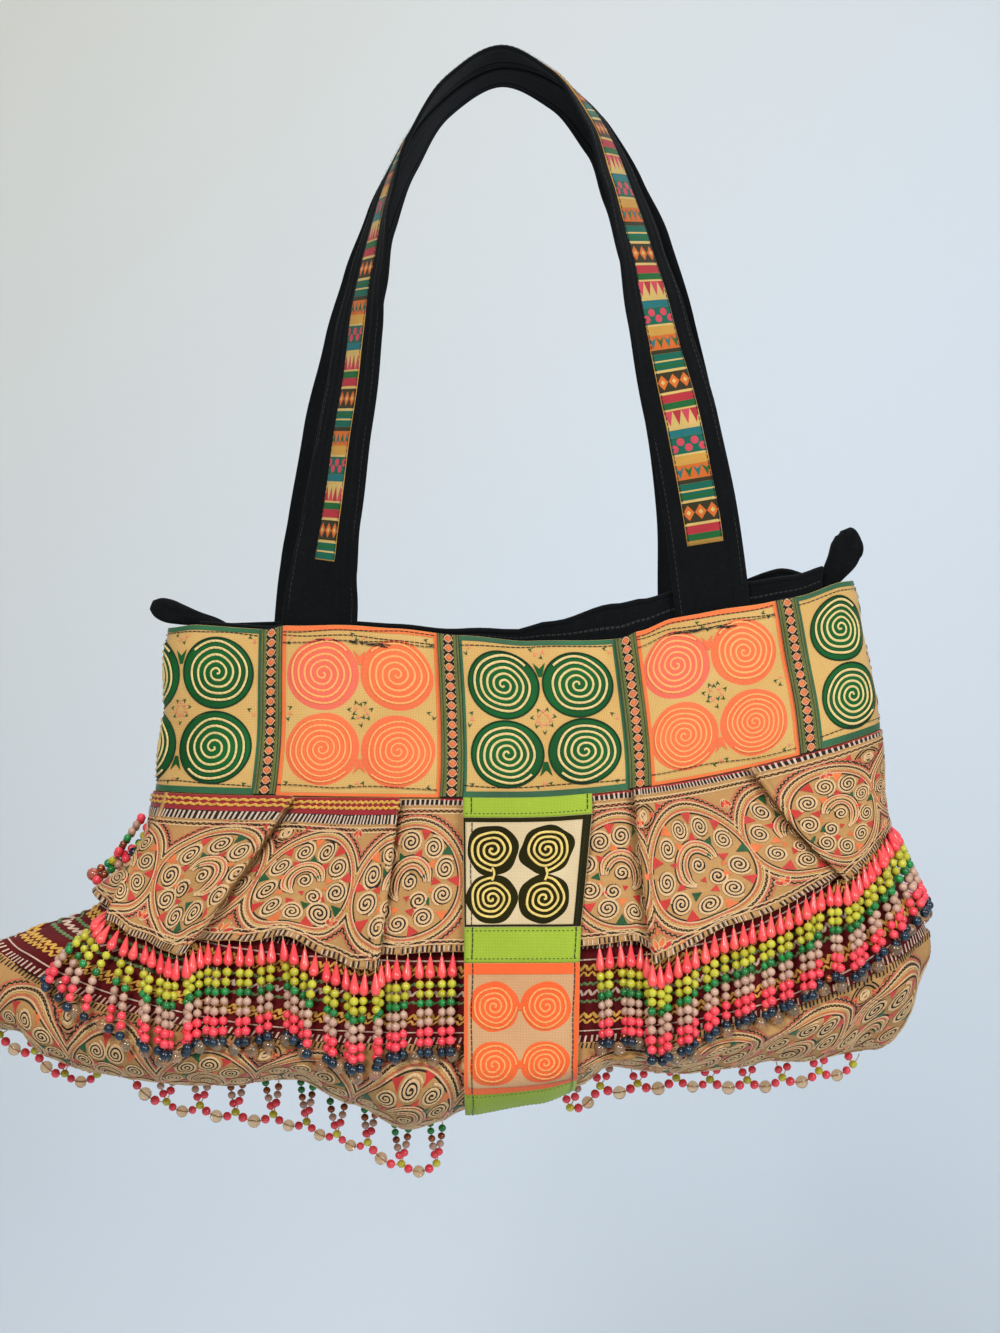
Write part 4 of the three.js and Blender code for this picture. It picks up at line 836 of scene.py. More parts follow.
def centripetal(points, f):
    """A curve through points, at the share f of their count."""
    n = len(points)
    p = np.clip(f, 0, 1) * (n - 1)
    i = np.minimum(np.floor(p).astype(int), n - 2)
    w = (p - i)[:, None]
    ext = np.vstack([2 * points[0] - points[1], points, 2 * points[-1] - points[-2]])
    x0, x1, x2, x3 = ext[i], ext[i + 1], ext[i + 2], ext[i + 3]
    d = lambda a, b: np.maximum(np.sum((a - b) ** 2, 1) ** 0.25, 1e-4)[:, None]
    d0, d1, d2 = d(x0, x1), d(x1, x2), d(x2, x3)
    t1 = ((x1 - x0) / d0 - (x2 - x0) / (d0 + d1) + (x2 - x1) / d1) * d1
    t2 = ((x2 - x1) / d1 - (x3 - x1) / (d1 + d2) + (x3 - x2) / d2) * d1
    return x1 + t1 * w + (-3 * x1 + 3 * x2 - 2 * t1 - t2) * w ** 2 + (2 * x1 - 2 * x2 + t1 + t2) * w ** 3


def strap_frames(name, f):
    face_way, left_x, right_x, stations = STRAPS[name]

    def foot(x, v):
        t = front_angle(x, v)
        t = t if face_way < 0 else 2 * PI - t
        return at(np.array([t]), np.array([v]), np.array([-STRAP_IN]))[0], outward(np.array([t]), np.array([v]))[0]

    feet = [foot(left_x - 1, STRAP_FOOT), foot(left_x, 0.02), foot(right_x, 0.02), foot(right_x + 2, STRAP_FOOT)]
    st = np.array(stations, float)
    pts = np.vstack([feet[0][0], feet[1][0], st[:, :3], feet[2][0], feet[3][0]])
    turn = np.radians(np.r_[0, 0, st[:, 3], 0, 0])
    n = len(pts)
    p = centripetal(pts, f)
    e = 1e-4
    along = unit(centripetal(pts, np.clip(f + e, 0, 1)) - centripetal(pts, np.clip(f - e, 0, 1)))
    q = f * (n - 1)
    i = np.minimum(np.floor(q).astype(int), n - 2)
    tn = turn[i] + (turn[i + 1] - turn[i]) * smooth(q - i)
    out = unit(np.stack([-along[:, 2], 0 * f, along[:, 0]], -1))
    face = np.array([0, face_way, 0.0]) * np.cos(tn)[:, None] + out * np.sin(tn)[:, None]
    held = {0: feet[0][1], 1: feet[1][1], n - 2: feet[2][1], n - 1: feet[3][1]}
    for k in range(len(f)):
        if i[k] in held or i[k] + 1 in held:
            a, b = held.get(i[k], face[k]), held.get(i[k] + 1, face[k])
            face[k] = a + (b - a) * (q[k] - i[k])
    face = unit(face - along * np.sum(face * along, 1)[:, None])
    return p, face, unit(np.cross(face, along))


# the strap's section: folded edges are thicker, and two seams run along it
half_w = STRAP_WIDTH / 2
top_w = np.array([-1.0, -0.985, -0.93, -0.86, -0.80, -0.76, -0.70, -0.56, -0.535, -0.50, -0.25, 0, 0.25, 0.50, 0.535, 0.56, 0.70, 0.76, 0.80, 0.86, 0.93, 0.985, 1.0]) * half_w
top_h = np.array([0.0, 0.7, 1.15, 1.25, 1.2, 0.85, 1.15, 1.15, 0.75, 0.9, 0.85, 0.85, 0.85, 0.9, 0.75, 1.15, 1.15, 0.85, 1.2, 1.25, 1.15, 0.7, 0.0])
outline_w = np.r_[top_w, top_w[1:-1][::-1]]
outline_h = np.r_[top_h, -0.9 * top_h[1:-1][::-1]]
PRINT = (
    ("teal", 9.0), ("cream_line", 1.4), ("diamonds", 11.0), ("cream_line", 1.4), ("red", 4.5), ("green", 3.6), ("triangles", 10.5),
    ("cream_line", 1.2), ("blue", 4.0), ("pink_dots", 9.5), ("cream_line", 1.2), ("ochre", 5.0), ("zigzag", 8.0), ("dark", 2.2),
)
for name in STRAPS:
    n = 200
    f = np.linspace(0, 1, n)
    P, F, Wd = strap_frames(name, f)
    m = len(outline_w)
    L = np.concatenate([[0], np.cumsum(np.linalg.norm(np.diff(P, axis=0), axis=1))])
    ripple = waves(L[:, None], outline_w[None, :], 70 + len(name), 80, 0.45)
    bend = 0.9 * np.sin(L / 37.0)[:, None] * (outline_w[None, :] / half_w) ** 2
    hh = outline_h[None, :] + ripple + bend
    ring = P[:, None] + Wd[:, None] * outline_w[None, :, None] * (1 + 0.012 * np.sin(L / 23.0 + 1))[:, None, None] + F[:, None] * hh[..., None]
    uv = np.stack(np.broadcast_arrays(L[:, None], np.cumsum(np.r_[0, np.hypot(np.diff(outline_w), np.diff(outline_h))])[None, :]), -1).reshape(-1, 2)
    i = np.arange(m)
    j = (i + 1) % m
    quads = np.concatenate([np.stack([c * m + i, (c + 1) * m + i, (c + 1) * m + j, c * m + j], -1) for c in range(n - 1)])
    caps = np.concatenate([ring[0].mean(0)[None], ring[-1].mean(0)[None]])
    tris = np.concatenate([np.stack([i, j, np.full(m, n * m)], -1), np.stack([(n - 1) * m + j, (n - 1) * m + i, np.full(m, n * m + 1)], -1)])
    ob = piece("cloth_strap_" + name, np.concatenate([ring.reshape(-1, 3), caps]), [quads, tris], "black_cotton", "black_cotton", ["strap_" + name], np.concatenate([uv, [[0, 0], [0, 0]]]))
    # stitching beside the seams, on a patch that follows the strap's face
    cols = np.linspace(-half_w, half_w, 23)
    face_h = np.interp(cols, top_w, top_h)
    sheet = P[:, None] - Wd[:, None] * cols[None, :, None] + F[:, None] * (face_h[None, :] + waves(L[:, None], cols[None, :], 70 + len(name), 80, 0.45) + 0.9 * np.sin(L / 37.0)[:, None] * (cols[None, :] / half_w) ** 2)[..., None]
    sp = Patch(sheet, L, cols + half_w)
    sp.N = np.broadcast_to(F[:, None], sheet.shape).copy()
    for hh in (3.0, 2 * half_w - 3.0):
        dashes(store("black_stitching", "thread_black", "black_cotton"), sp, line((3, hh), (L[-1] - 3, hh), 4), 2.3, 0.9, 0.5, 0.1, 0.15)
    # the printed ribbon
    lo, hi = np.interp([0.112, 0.912], f, L)
    inside = (L >= lo) & (L <= hi)
    T = 20.0
    tw = np.linspace(-0.5, 0.5, 9)
    showing = TRIM_WIDTHS[0] + (TRIM_WIDTHS[1] - TRIM_WIDTHS[0]) * smooth((f[inside] - 0.1) / 0.75)
    lie = 1.35 - 0.35 * np.abs(2 * tw) ** 6 + waves(L[inside][:, None], tw[None, :] * T, 83, 60, 0.2) + waves(L[inside][:, None], tw[None, :] * T, 70 + len(name), 80, 0.45)
    tp = Patch(P[inside][:, None] - Wd[inside][:, None] * (tw[None, :] * showing[:, None])[..., None] + F[inside][:, None] * lie[..., None], L[inside] - L[inside][0], (tw + 0.5) * T)
    tp.N = np.broadcast_to(F[inside][:, None], tp.P.shape).copy()
    TL = tp.s[-1]
    ob = tp.cloth("ribbon_strap_" + name, "print_ochre", "printed_ribbon", ["strap_trim_" + name], 0.8)
    P_ = lambda key: store("print_" + key + "_shapes", "print_" + key, "printed_ribbon")
    s, k = 0.6, 0 if name == "front" else 5
    while s < TL - 3:
        kind, length = PRINT[k % len(PRINT)]
        e = min(s + length, TL - 0.4)
        if kind == "teal":
            rect(P_("teal"), tp, s, e, 0.3, T - 0.3, 0.12, 3)
            rect(P_("cream"), tp, s + length * 0.42, s + length * 0.52, 0.3, T - 0.3, 0.2, 3)
            rect(P_("green"), tp, s + length * 0.7, s + length * 0.86, 0.3, T - 0.3, 0.2, 3)
        elif kind == "cream_line":
            rect(P_("cream"), tp, s, e, 0.3, T - 0.3, 0.14, 3)
        elif kind == "diamonds":
            rect(P_("dark"), tp, s, e, 0.3, T - 0.3, 0.12, 3)
            for q in range(3):
                c = np.array([s + length / 2, T * (q + 0.5) / 3])
                fan(P_("orange"), tp, c + np.array([(-4.2, 0), (0, -3.2), (4.2, 0), (0, 3.2)]), 0.2, 0.05)
                fan(P_("cream"), tp, c + np.array([(-1.5, 0), (0, -1.3), (1.5, 0), (0, 1.3)]), 0.3, 0.05)
        elif kind in ("red", "green", "blue", "ochre"):
            rect(P_(kind), tp, s, e, 0.3, T - 0.3, 0.12, 3)
        elif kind == "triangles":
            rect(P_("cream"), tp, s, e, 0.3, T - 0.3, 0.12, 3)
            for q in range(4):
                c = T * (q + 0.5) / 4
                fan(P_("pink" if q % 2 else "red"), tp, [(s + 1, c - 2.5), (s + 1, c + 2.5), (e - 1, c)], 0.2, 0.05)
        elif kind == "pink_dots":
            rect(P_("teal"), tp, s, e, 0.3, T - 0.3, 0.12, 3)
            for q in range(5):
                a8 = np.arange(8) / 8 * 2 * PI
                c = np.array([s + length * (0.3 if q % 2 else 0.68), T * (q + 0.5) / 5])
                fan(P_("pink"), tp, c + 2.3 * np.stack([np.cos(a8), np.sin(a8)], -1), 0.2, 0.05)
        elif kind == "zigzag":
            rect(P_("orange"), tp, s, e, 0.3, T - 0.3, 0.12, 3)
            for q in range(4):
                c = T * (q + 0.5) / 4
                fan(P_("blue" if q % 2 else "green"), tp, [(s + 0.8, c - 2.4), (e - 0.8, c), (s + 0.8, c + 2.4), (s + 3, c)], 0.2, 0.05)
        else:
            rect(P_("dark"), tp, s, e, 0.3, T - 0.3, 0.12, 3)
        s, k = e + 0.1, k + 1
    for hh in (0.9, T - 0.9):
        dashes(store("black_stitching", "thread_black", "black_cotton"), tp, line((1, hh), (TL - 1, hh), 4), 2.3, 0.8, 0.5, 0.35, 0.2)

# ---------------------------------------------------------------- embroidery of one cell
CELL_W, CELL_H = 60.0, 84.0


def embroider(patch, cx, cy, kx=1.0, ky=1.0, mirror=1, clip=None, seed=0, prefix="tier", turn=0.0):
    """One ring of coiled cords round a comma of nested lines, with its outline, drawn about (0, 0) in CELL_W by CELL_H."""
    g = np.random.default_rng(seed)
    S = lambda key, mat: store(prefix + "_" + key, mat, "embroidered_cloth")
    cord, dark, pink, gold = S("cord", "cord_beige"), S("dark", "thread_dark"), S("pink", "thread_pink"), S("gold", "thread_gold")
    silks = [S("red", "silk_red"), S("orange", "silk_orange"), S("green", "silk_green")]
    cs, sn = math.cos(turn), math.sin(turn)
    rot = np.array([[cs, sn], [-sn, cs]])

    def put(pts, still=False):
        pts = np.asarray(pts, float) * np.array([mirror, 1.0])
        if not still:
            pts = pts @ rot
        return pts * np.array([kx, ky]) + np.array([cx, cy])

    def coil(x, y, r, still=False):
        start, way = g.uniform(0, 2 * PI), mirror * (1 if g.uniform() < 0.7 else -1)
        sq = (g.uniform(0.94, 1.05), g.uniform(0.94, 1.05))
        centre = put([(x, y)], still)[0]
        disc(dark, patch, centre, r + 0.35, 0.12, 0.12, 2, 16, clip=clip, squash=sq)
        pts = spiral(r - 0.85, (r - 0.85) / 2.15, 1.5, start, way, 0.25, sq)
        ribbon(cord, patch, centre + pts, 1.25, 0.35, 0.42, clip=clip)

    def leaf(st, x, y, size, ang, still=False):
        k3 = np.array([0, 2.2, 4.08])
        pts = np.array([x, y]) + size * np.stack([np.cos(ang + k3), np.sin(ang + k3)], -1)
        fan(st, patch, put(pts, still), 0.3, 0.45, clip=clip)

    def stroke(st, pts, width, rise, still=False, closed=False):
        ribbon(st, patch, put(pts, still), width, rise if rise > 0.2 else 0.0, 0.24, closed=closed, clip=clip)

    # ring of coils, with coloured leaves between them
    count = 9
    for q in range(count):
        a = 2 * PI * q / count + 0.2 + g.uniform(-0.05, 0.05)
        coil(20.4 * math.cos(a), 24.0 * math.sin(a), g.uniform(7.0, 7.5))
        b = a + PI / count
        leaf(silks[(0, 0, 1, 0, 2)[(q + seed) % 5]], 25.6 * math.cos(b), 29.2 * math.sin(b), g.uniform(4.0, 4.7), b + PI + g.uniform(-0.3, 0.3))
        leaf(silks[(2, 0, 1, 0)[(q + seed) % 4]], 14.4 * math.cos(b), 17.2 * math.sin(b), g.uniform(2.8, 3.4), b + g.uniform(-0.3, 0.3))
    # the comma: a band of nested lines that narrows to its tail
    a = np.linspace(-2.95, 1.25, 46)
    band = 3.9 * (1 - 0.75 * smooth((a - 0.35) / 0.9)) * (0.55 + 0.45 * smooth((a + 2.95) / 0.7))
    for share, st, width, rise, amp in (
        (1.04, dark, 0.75, 0.0, 0.0), (0.8, cord, 0.9, 0.4, 0), (0.58, pink, 0.75, 0.1, 0.35), (0.34, cord, 0.9, 0.4, 0), (0.14, gold, 0.5, 0.1, 0.2), (-0.06, dark, 0.75, 0.0, 0.5),
        (-0.3, cord, 0.9, 0.4, 0), (-0.54, pink, 0.75, 0.1, 0.35), (-0.78, cord, 0.8, 0.4, 0), (-1.02, dark, 0.75, 0.0, 0.0),
    ):
        pts = np.stack([(9.8 + share * band) * np.cos(a) + 0.5, (11.3 + share * band) * np.sin(a) - 0.6], -1)
        stroke(st, wavy(pts, amp, 2.2) if amp else pts, width, rise)
    coil(0.6, -1.2, 5.4)
    coil(-7.8, 8.6, 5.8)
    leaf(silks[2], -6.4, -5.4, 2.2, 0.4)
    leaf(silks[0], -0.6, 8.4, 2.2, 2.0)
    leaf(silks[1], -13.0, 1.6, 2.0, 3.0)
    # outline of the cell: neighbouring outlines meet at its sides and leave a fork at its top and its bottom
    for rx, ry, st, width, rise, amp, per in (
        (27.7, 31.5, dark, 0.75, 0.0, 0.0, 1), (28.6, 32.5, cord, 0.8, 0.4, 0.0, 1), (29.5, 33.6, pink, 0.75, 0.15, 0.45, 2.4), (30.4, 34.7, gold, 0.5, 0.15, 0.25, 2.4), (31.3, 35.8, cord, 0.9, 0.45, 0.0, 1),
        (32.3, 37.0, dark, 0.85, 0.0, 0.7, 2.8), (33.3, 38.2, cord, 0.9, 0.4, 0.0, 1), (34.3, 39.4, pink, 0.75, 0.15, 0.45, 2.4), (35.3, 40.6, dark, 0.8, 0.0, 0.55, 3.2), (36.6, 42.0, pink, 0.7, 0.15, 0.4, 2.4),
    ):
        n = max(int(PI * (rx + ry) / (0.75 if amp else 2.4)), 12)
        b = np.arange(n) / n * 2 * PI
        pts = np.stack([rx * np.cos(b), ry * np.sin(b)], -1)
        inside = np.abs(pts[:, 0]) < CELL_W / 2 + 0.3
        if amp:
            pts = wavy(pts, amp, per, closed=True)
        for part in np.split(np.arange(n), np.where(np.diff(inside.astype(int)) != 0)[0] + 1):
            if inside[part[0]] and len(part) > 2:
                stroke(st, pts[part], width, rise, True)
    # the forks between cells: an eye with a coil above, a flower below
    gx = CELL_W / 2
    coil(gx, -33.5, 4.3, True)
    b = np.arange(24) / 24 * 2 * PI
    for rr, st, wd in ((5.6, dark, 0.75), (6.6, cord, 0.8), (7.6, dark, 0.7)):
        eye = rr / (np.abs(np.cos(b)) ** 1.5 + np.abs(np.sin(b)) ** 1.5) ** (1 / 1.5)
        stroke(st, np.stack([gx + 1.25 * eye * np.cos(b), -33.5 + eye * np.sin(b)], -1), wd, 0.2, True, True)
    for side in (-1, 1):
        leaf(silks[0 if side > 0 else 1], gx + side * 6.4, -33.5, 2.3, 0 if side > 0 else PI, True)
        leaf(silks[0], gx + side * 12.5, -38.0, 2.8, 0 if side > 0 else PI, True)
        leaf(silks[1], gx + side * 11.5, 38.2, 2.9, PI if side > 0 else 0, True)
    for q, ang in enumerate((-2.75, -1.95, -1.2, -0.4)):
        x, y = gx + 4.4 * math.cos(ang), 36.6 + 3.9 * math.sin(ang)
        b = np.arange(10) / 10 * 2 * PI
        petal = np.stack([2.6 * np.cos(b), 1.35 * np.sin(b)], -1) @ np.array([[math.cos(ang), math.sin(ang)], [-math.sin(ang), math.cos(ang)]])
        fan(silks[1 if q in (1, 2) else 0], patch, put(np.array([x, y]) + petal, True), 0.3, 0.4, clip=clip)
        stroke(cord, np.array([x, y]) + petal * 1.22, 0.5, 0.25, True, True)
    leaf(silks[1], gx, 26.5, 1.8, -PI / 2, True)


# ---------------------------------------------------------------- the pleated tier
# One pleat seen from above: how far past the fold's edge, and how high of its rise, from the outer layer to the one below.
FOLD = (
    (-2.0, 1.0, 1, 0), (-0.4, 1.0, 1, 0), (0.9, 0.86, 1, 0), (1.3, 0.62, 1, 0.1), (0.5, 0.44, 0, 0.4), (-3.0, 0.36, 0, 0.6), (-7.5, 0.31, 0, 0.8), (-9.0, 0.21, 0, 1.0),
    (-7.5, 0.11, 0, 1.25), (-3.0, 0.05, 0, 1.3), (0.2, 0.0, 1, 1.1), (3.0, 0.0, 1, 0.66), (7.0, 0.0, 1, 0.22), (12.0, 0.0, 1, 0.0),
)
VALLEY = 5.0  # how deep the layer below lies beside a fold
tier_rows = 36
v_rows = np.linspace(1.004, 2.0, tier_rows)
cols_t, cols_e, cols_dip, seen, region = [], [], [], [], []
previous = np.full(tier_rows, 0.0)


def stretch(t0, t1, n, zone):
    for q in range(n):
        t = t0 + (t1 - t0) * q / n
        x = form(t, v_rows)[:, 0]
        lift = lobes(x, v_rows)
        cols_t.append(t)
        cols_e.append(PUFF * lift)
        cols_dip.append(lift * HEM_DIP * (v_rows - 1))
        seen.append(1)
        region.append(zone)


for zone, f in enumerate(PLEATS):
    tf = np.maximum(front_angle(pleat_x(f, v_rows), v_rows), 0.03)
    metric = np.linalg.norm(form(tf + 0.004, v_rows) - form(tf - 0.004, v_rows), axis=1) / 0.008
    rise = pleat_rise(f, v_rows)
    depth = np.minimum(1, rise / 4)
    prof = FOLD if f[3] > 0 else FOLD[::-1]
    local = []
    valley = VALLEY * (zone > 0) * smooth((v_rows - 1) / 0.14 + 0.35) * (1 - smooth((v_rows - 1.55) / 0.42))
    for d, e, show, deep in prof:
        dd = d * (depth if d < -2.5 else 1)
        t = np.clip(tf + f[3] * dd / metric, 0.0, PI)
        x = form(t, v_rows)[:, 0]
        lift = PUFF * np.maximum(rise * e, lobes(x, v_rows, but=f)) - deep * valley
        local.append((t, lift, rise * e * HEM_DIP * (v_rows - 1), show))
    stretch(previous, local[0][0], 34 if zone else 14, zone)
    for q, (t, lift, dip, show) in enumerate(local):
        cols_t.append(t)
        cols_e.append(lift)
        cols_dip.append(dip)
        seen.append(show)
        region.append(zone + (0 if (f[3] > 0 and q < 5) or (f[3] < 0 and q < 9) else 1))
    previous = local[-1][0]
stretch(previous, np.full(tier_rows, PI), 30, len(PLEATS))
cols_t.append(np.full(tier_rows, PI))
cols_e.append(np.zeros(tier_rows))
cols_dip.append(np.zeros(tier_rows))
seen.append(1)
region.append(len(PLEATS))
T, E, D = np.array(cols_t), np.array(cols_e), np.array(cols_dip)
seen, region = np.array(seen), np.array(region)


def sewn(p, v, back):
    seam = through(SECT["side"], v)
    p[..., 1] = np.maximum(p[..., 1], seam + 0.2) if back else np.minimum(p[..., 1], seam - 0.2)
    return p


VV = np.broadcast_to(v_rows, T.shape)
flat_x = form(T, VV)
soft = waves(flat_x[..., 0], flat_x[..., 2], 5, 62, 1.5) * smooth((VV - 1) * 2.5) * smooth(np.minimum(T, PI - T) * 6)
front_side = np.sin(T) > 1e-6
sag = along_x(HEM_SAG, flat_x[..., 0]) * smooth(VV - 1) * front_side
D = D + sag + hem_wave(flat_x[..., 0]) * smooth((VV - 1.2) / 0.8) * front_side
points = sewn(at(T, VV, E + SAG_OUT * np.maximum(sag, 0) + FLOUNCE * smooth(VV - 1) + soft, D), VV, False)
mid = int(tier_rows * 0.62)
steps = np.linalg.norm(np.diff(points[:, mid], axis=0), axis=1) * np.minimum(seen[1:], 1) * np.maximum(seen[:-1], 0)
tier_s = np.concatenate([[0], np.cumsum(steps)])
tier_h = np.concatenate([[0], np.cumsum(np.linalg.norm(np.diff(points, axis=1), axis=2).mean(0))])
# the places along s where the cloth goes under
hidden = [tier_s[np.where((region[:-1] == z) & (region[1:] == z + 1))[0][0]] for z in range(len(PLEATS))]
tier_front = Patch(points, tier_s, tier_h, hidden)
tier_front_ob = tier_front.cloth("cloth_tier_front", "embroidered_beige", "embroidered_cloth", ["tier_front"])


def tier_s_of(x, v=1.62):
    t = front_angle(x, v)
    col = T[:, mid]
    vis = np.where(seen > 0)[0]
    k = vis[np.argmin(np.abs(col[vis] - t))]
    return tier_s[k]


bounds = [0.0] + hidden + [tier_s[-1]]
H_T = tier_h[-1]
# cell centres by x at half height, the stretch of cloth each one lies on, and its lean
FRONT_CELLS = ((-225, 0, 1, 0.0), (-162, 1, 1, 0.25), (-106, 2, -1, -0.1), (-48, 3, -1, 0.2), (68, 3, 1, -0.2), (111, 4, -1, 0.1), (168, 4, 1, -0.2), (188, 5, 1, 0.3))
ribbon_end = bounds[3]
for q, (x, zone, way, lean) in enumerate(FRONT_CELLS):
    s0 = tier_s_of(x)
    left = zone <= 2
    top = 15.0 if left else 4.2
    pitch = 66.0 if zone == 4 else 58.0
    for k in (-1, 0, 1):
        if zone == 4 and ((q == 5 and k == 1) or (q == 6 and k == -1)) or zone == 3 and ((q == 3 and k == 1) or (q == 4 and k == -1)):
            continue
        if s0 + pitch * k + pitch / 2 + 2 < bounds[zone] or s0 + pitch * k - pitch / 2 - 2 > bounds[zone + 1]:
            continue
        embroider(tier_front, s0 + pitch * k, top + (H_T - top) * (0.5 if left else 0.52), pitch / CELL_W, (H_T - top) / CELL_H * (1.0 if left else 0.97), way if k == 0 else -way, (bounds[zone], bounds[zone + 1], top, H_T - 3.0), 100 + 3 * q + k, "tier", lean)


def flower(patch, x, y, size, up, clip):
    """Three petals with a light outline; up is the way that it opens."""
    for q, ang in enumerate((-0.75, 0.0, 0.75)):
        a = ang - PI / 2 * up
        b = np.arange(12) / 12 * 2 * PI
        petal = np.stack([size * np.cos(b), 0.52 * size * np.sin(b)], -1) @ np.array([[math.cos(a), math.sin(a)], [-math.sin(a), math.cos(a)]])
        centre = np.array([x, y]) + size * np.array([math.cos(a), math.sin(a)])
        fan(store("tier_orange" if q == 1 else "tier_red", "silk_orange" if q == 1 else "silk_red", "embroidered_cloth"), patch, centre + petal, 0.32, 0.4, clip=clip)
        ribbon(store("tier_cord", "cord_beige", "embroidered_cloth"), patch, centre + petal * 1.25, 0.6, 0.3, 0.3, closed=True, clip=clip)


for zone in range(len(bounds) - 1):
    top = 15.0 if zone <= 2 else 4.2
    a, b = bounds[zone] + 0.4, bounds[zone + 1] - 0.4
    if b - a < 6:
        continue
    keep = (bounds[zone], bounds[zone + 1], top, H_T - 3.0)
    for hh, key, mat, width, amp, per in (
        (top + 1.5, "cord", "cord_beige", 0.8, 0.0, 1), (top + 2.7, "dark", "thread_dark", 0.75, 0.5, 3.4), (top + 4.0, "cord", "cord_beige", 0.8, 0.0, 1),
        (H_T - 6.6, "cord", "cord_beige", 0.8, 0.0, 1), (H_T - 5.5, "dark", "thread_dark", 0.75, 0.5, 3.4), (H_T - 4.4, "cord", "cord_beige", 0.8, 0.0, 1),
    ):
        ln = line((a, hh), (b, hh), 0.85 if amp else 2.6)
        ribbon(store("tier_" + key, mat, "embroidered_cloth"), tier_front, wavy(ln, amp, per) if amp else ln, width, 0.3, 0.2, clip=keep)
for x, hh, size, up in ((146, 0.17, 2.5, -1), (84, 0.24, 2.3, 1), (142, 0.86, 2.5, 1), (-196, 0.88, 2.4, 1), (-90, 0.81, 2.3, 1), (-77, 0.21, 2.2, -1), (193, 0.18, 2.2, -1)):
    ss = tier_s_of(x, 1.0 + hh)
    flower(tier_front, ss, hh * H_T, size, up, (ss - 9, ss + 9, 4.0, H_T - 3.0))

# back of the tier
cols = 150
t_back = np.linspace(PI, 2 * PI, cols)
TB, VB = np.broadcast_arrays(t_back[:, None], v_rows[None, :])
xb = form(TB, VB)
lift = FLOUNCE * smooth(VB - 1) + waves(xb[..., 0], xb[..., 2], 9, 60, 1.6) * smooth((VB - 1) * 2.5) * smooth(np.minimum(TB - PI, 2 * PI - TB) * 6)
pb = sewn(at(TB, VB, lift), VB, True)
sb = np.concatenate([[0], np.cumsum(np.linalg.norm(np.diff(pb[:, mid], axis=0), axis=1))])
hb = np.concatenate([[0], np.cumsum(np.linalg.norm(np.diff(pb, axis=1), axis=2).mean(0))])
tier_back = Patch(pb, sb, hb)
ob = tier_back.cloth("cloth_tier_back", "embroidered_beige", "embroidered_cloth", ["tier_back"])
n = int(round(sb[-1] / CELL_W))
for q in range(n + 1):
    embroider(tier_back, (q + 0.35) * sb[-1] / n, hb[-1] * 0.52, sb[-1] / n / CELL_W, hb[-1] / CELL_H * 0.97, 1 if q % 2 else -1, (0, sb[-1], 4.2, hb[-1] - 3.0), 200 + q, "tier", 0.2 * math.sin(2.1 * q))

# edges of the tier: ladder stitches, red ribbon with scalloped braid at the front left, whipped hem
for patch, front in ((tier_front, True), (tier_back, False)):
    Hh, Ws = patch.h[-1], patch.s[-1]
    light, darkt = store("ladder_light", "rick_white", "embroidered_cloth"), store("ladder_dark", "thread_dark", "embroidered_cloth")
    ladder(darkt, patch, 0.5, Ws - 0.5, Hh - 3.6, Hh - 0.2, 2.4, 0.9, 0.3, 3)
    ladder(light, patch, 1.7, Ws - 0.5, Hh - 3.2, Hh - 0.1, 2.4, 0.7, 0.35, 4)
    if front:
        s_mid = bounds[3]
        rect(store("tier_ribbon", "ribbon_red", "red_braid"), patch, 1, s_mid - 0.5, 0.2, 9.6, 0.3, 3)
        scallop = line((1, 4.4), (s_mid - 0.5, 4.4), 0.7)
        for dh in (-0.9, 0.9):
            c = scallop.copy()
            c[:, 1] += dh + 1.0 * np.abs(np.sin(c[:, 0] * PI / 5.0)) * (1 if dh > 0 else -1)
            ribbon(store("tier_scallop", "rick_yellow", "red_braid"), patch, c, 1.5, 0.7, 0.7)
        rect(store("ladder_ground", "strip_black", "embroidered_cloth"), patch, 1, s_mid - 0.5, 9.6, 14.6, 0.25, 3)
        ladder(light, patch, 1, s_mid - 0.5, 10.0, 15.0, 2.9, 1.3, 0.45, 5)
        rect(store("ladder_ground", "strip_black", "embroidered_cloth"), patch, s_mid + 0.5, Ws - 1, 0.6, 3.4, 0.25, 3)
        ladder(light, patch, s_mid + 0.5, Ws - 1, 0.6, 4.0, 2.9, 1.1, 0.4, 6)
        rect(store("tier_ribbon", "ribbon_red", "red_braid"), patch, bounds[3] + 26, Ws - 4, 0.0, 1.0, 0.3, 3)
    else:
        rect(store("ladder_ground", "strip_black", "embroidered_cloth"), patch, 0.5, Ws - 0.5, 0.6, 3.4, 0.25, 3)
        ladder(light, patch, 0.5, Ws - 0.5, 0.6, 4.0, 2.9, 1.1, 0.4, 7)


# ---------------------------------------------------------------- the ribbon band and the lower bag
def body(name, v0, v1, rows, back, seed, material, slot, node, cols=170):
    t = np.linspace(PI, 2 * PI, cols) if back else np.linspace(0, PI, cols)
    v = np.linspace(v0, v1, rows)
    TT, VV2 = np.broadcast_arrays(t[:, None], v[None, :])
    x = form(TT, VV2)
    ends = smooth(np.minimum(np.abs(TT - (PI if back else 0)), np.abs((2 * PI if back else PI) - TT)) * 5)
    uneven = waves(x[..., 0], x[..., 2] + x[..., 1], seed, 48, 1.9) * ends * smooth((6 - VV2) * 1.6)
    p = sewn(at(TT, VV2, lower_lift(TT, VV2) + uneven), VV2, back)
    s = np.concatenate([[0], np.cumsum(np.linalg.norm(np.diff(p[:, rows // 3], axis=0), axis=1))])
    h = np.concatenate([[0], np.cumsum(np.linalg.norm(np.diff(p, axis=1), axis=2)[cols // 4: -cols // 4].mean(0))])
    patch = Patch(p, s, h)
    ob = patch.cloth(name, material, slot, [node])
    return patch


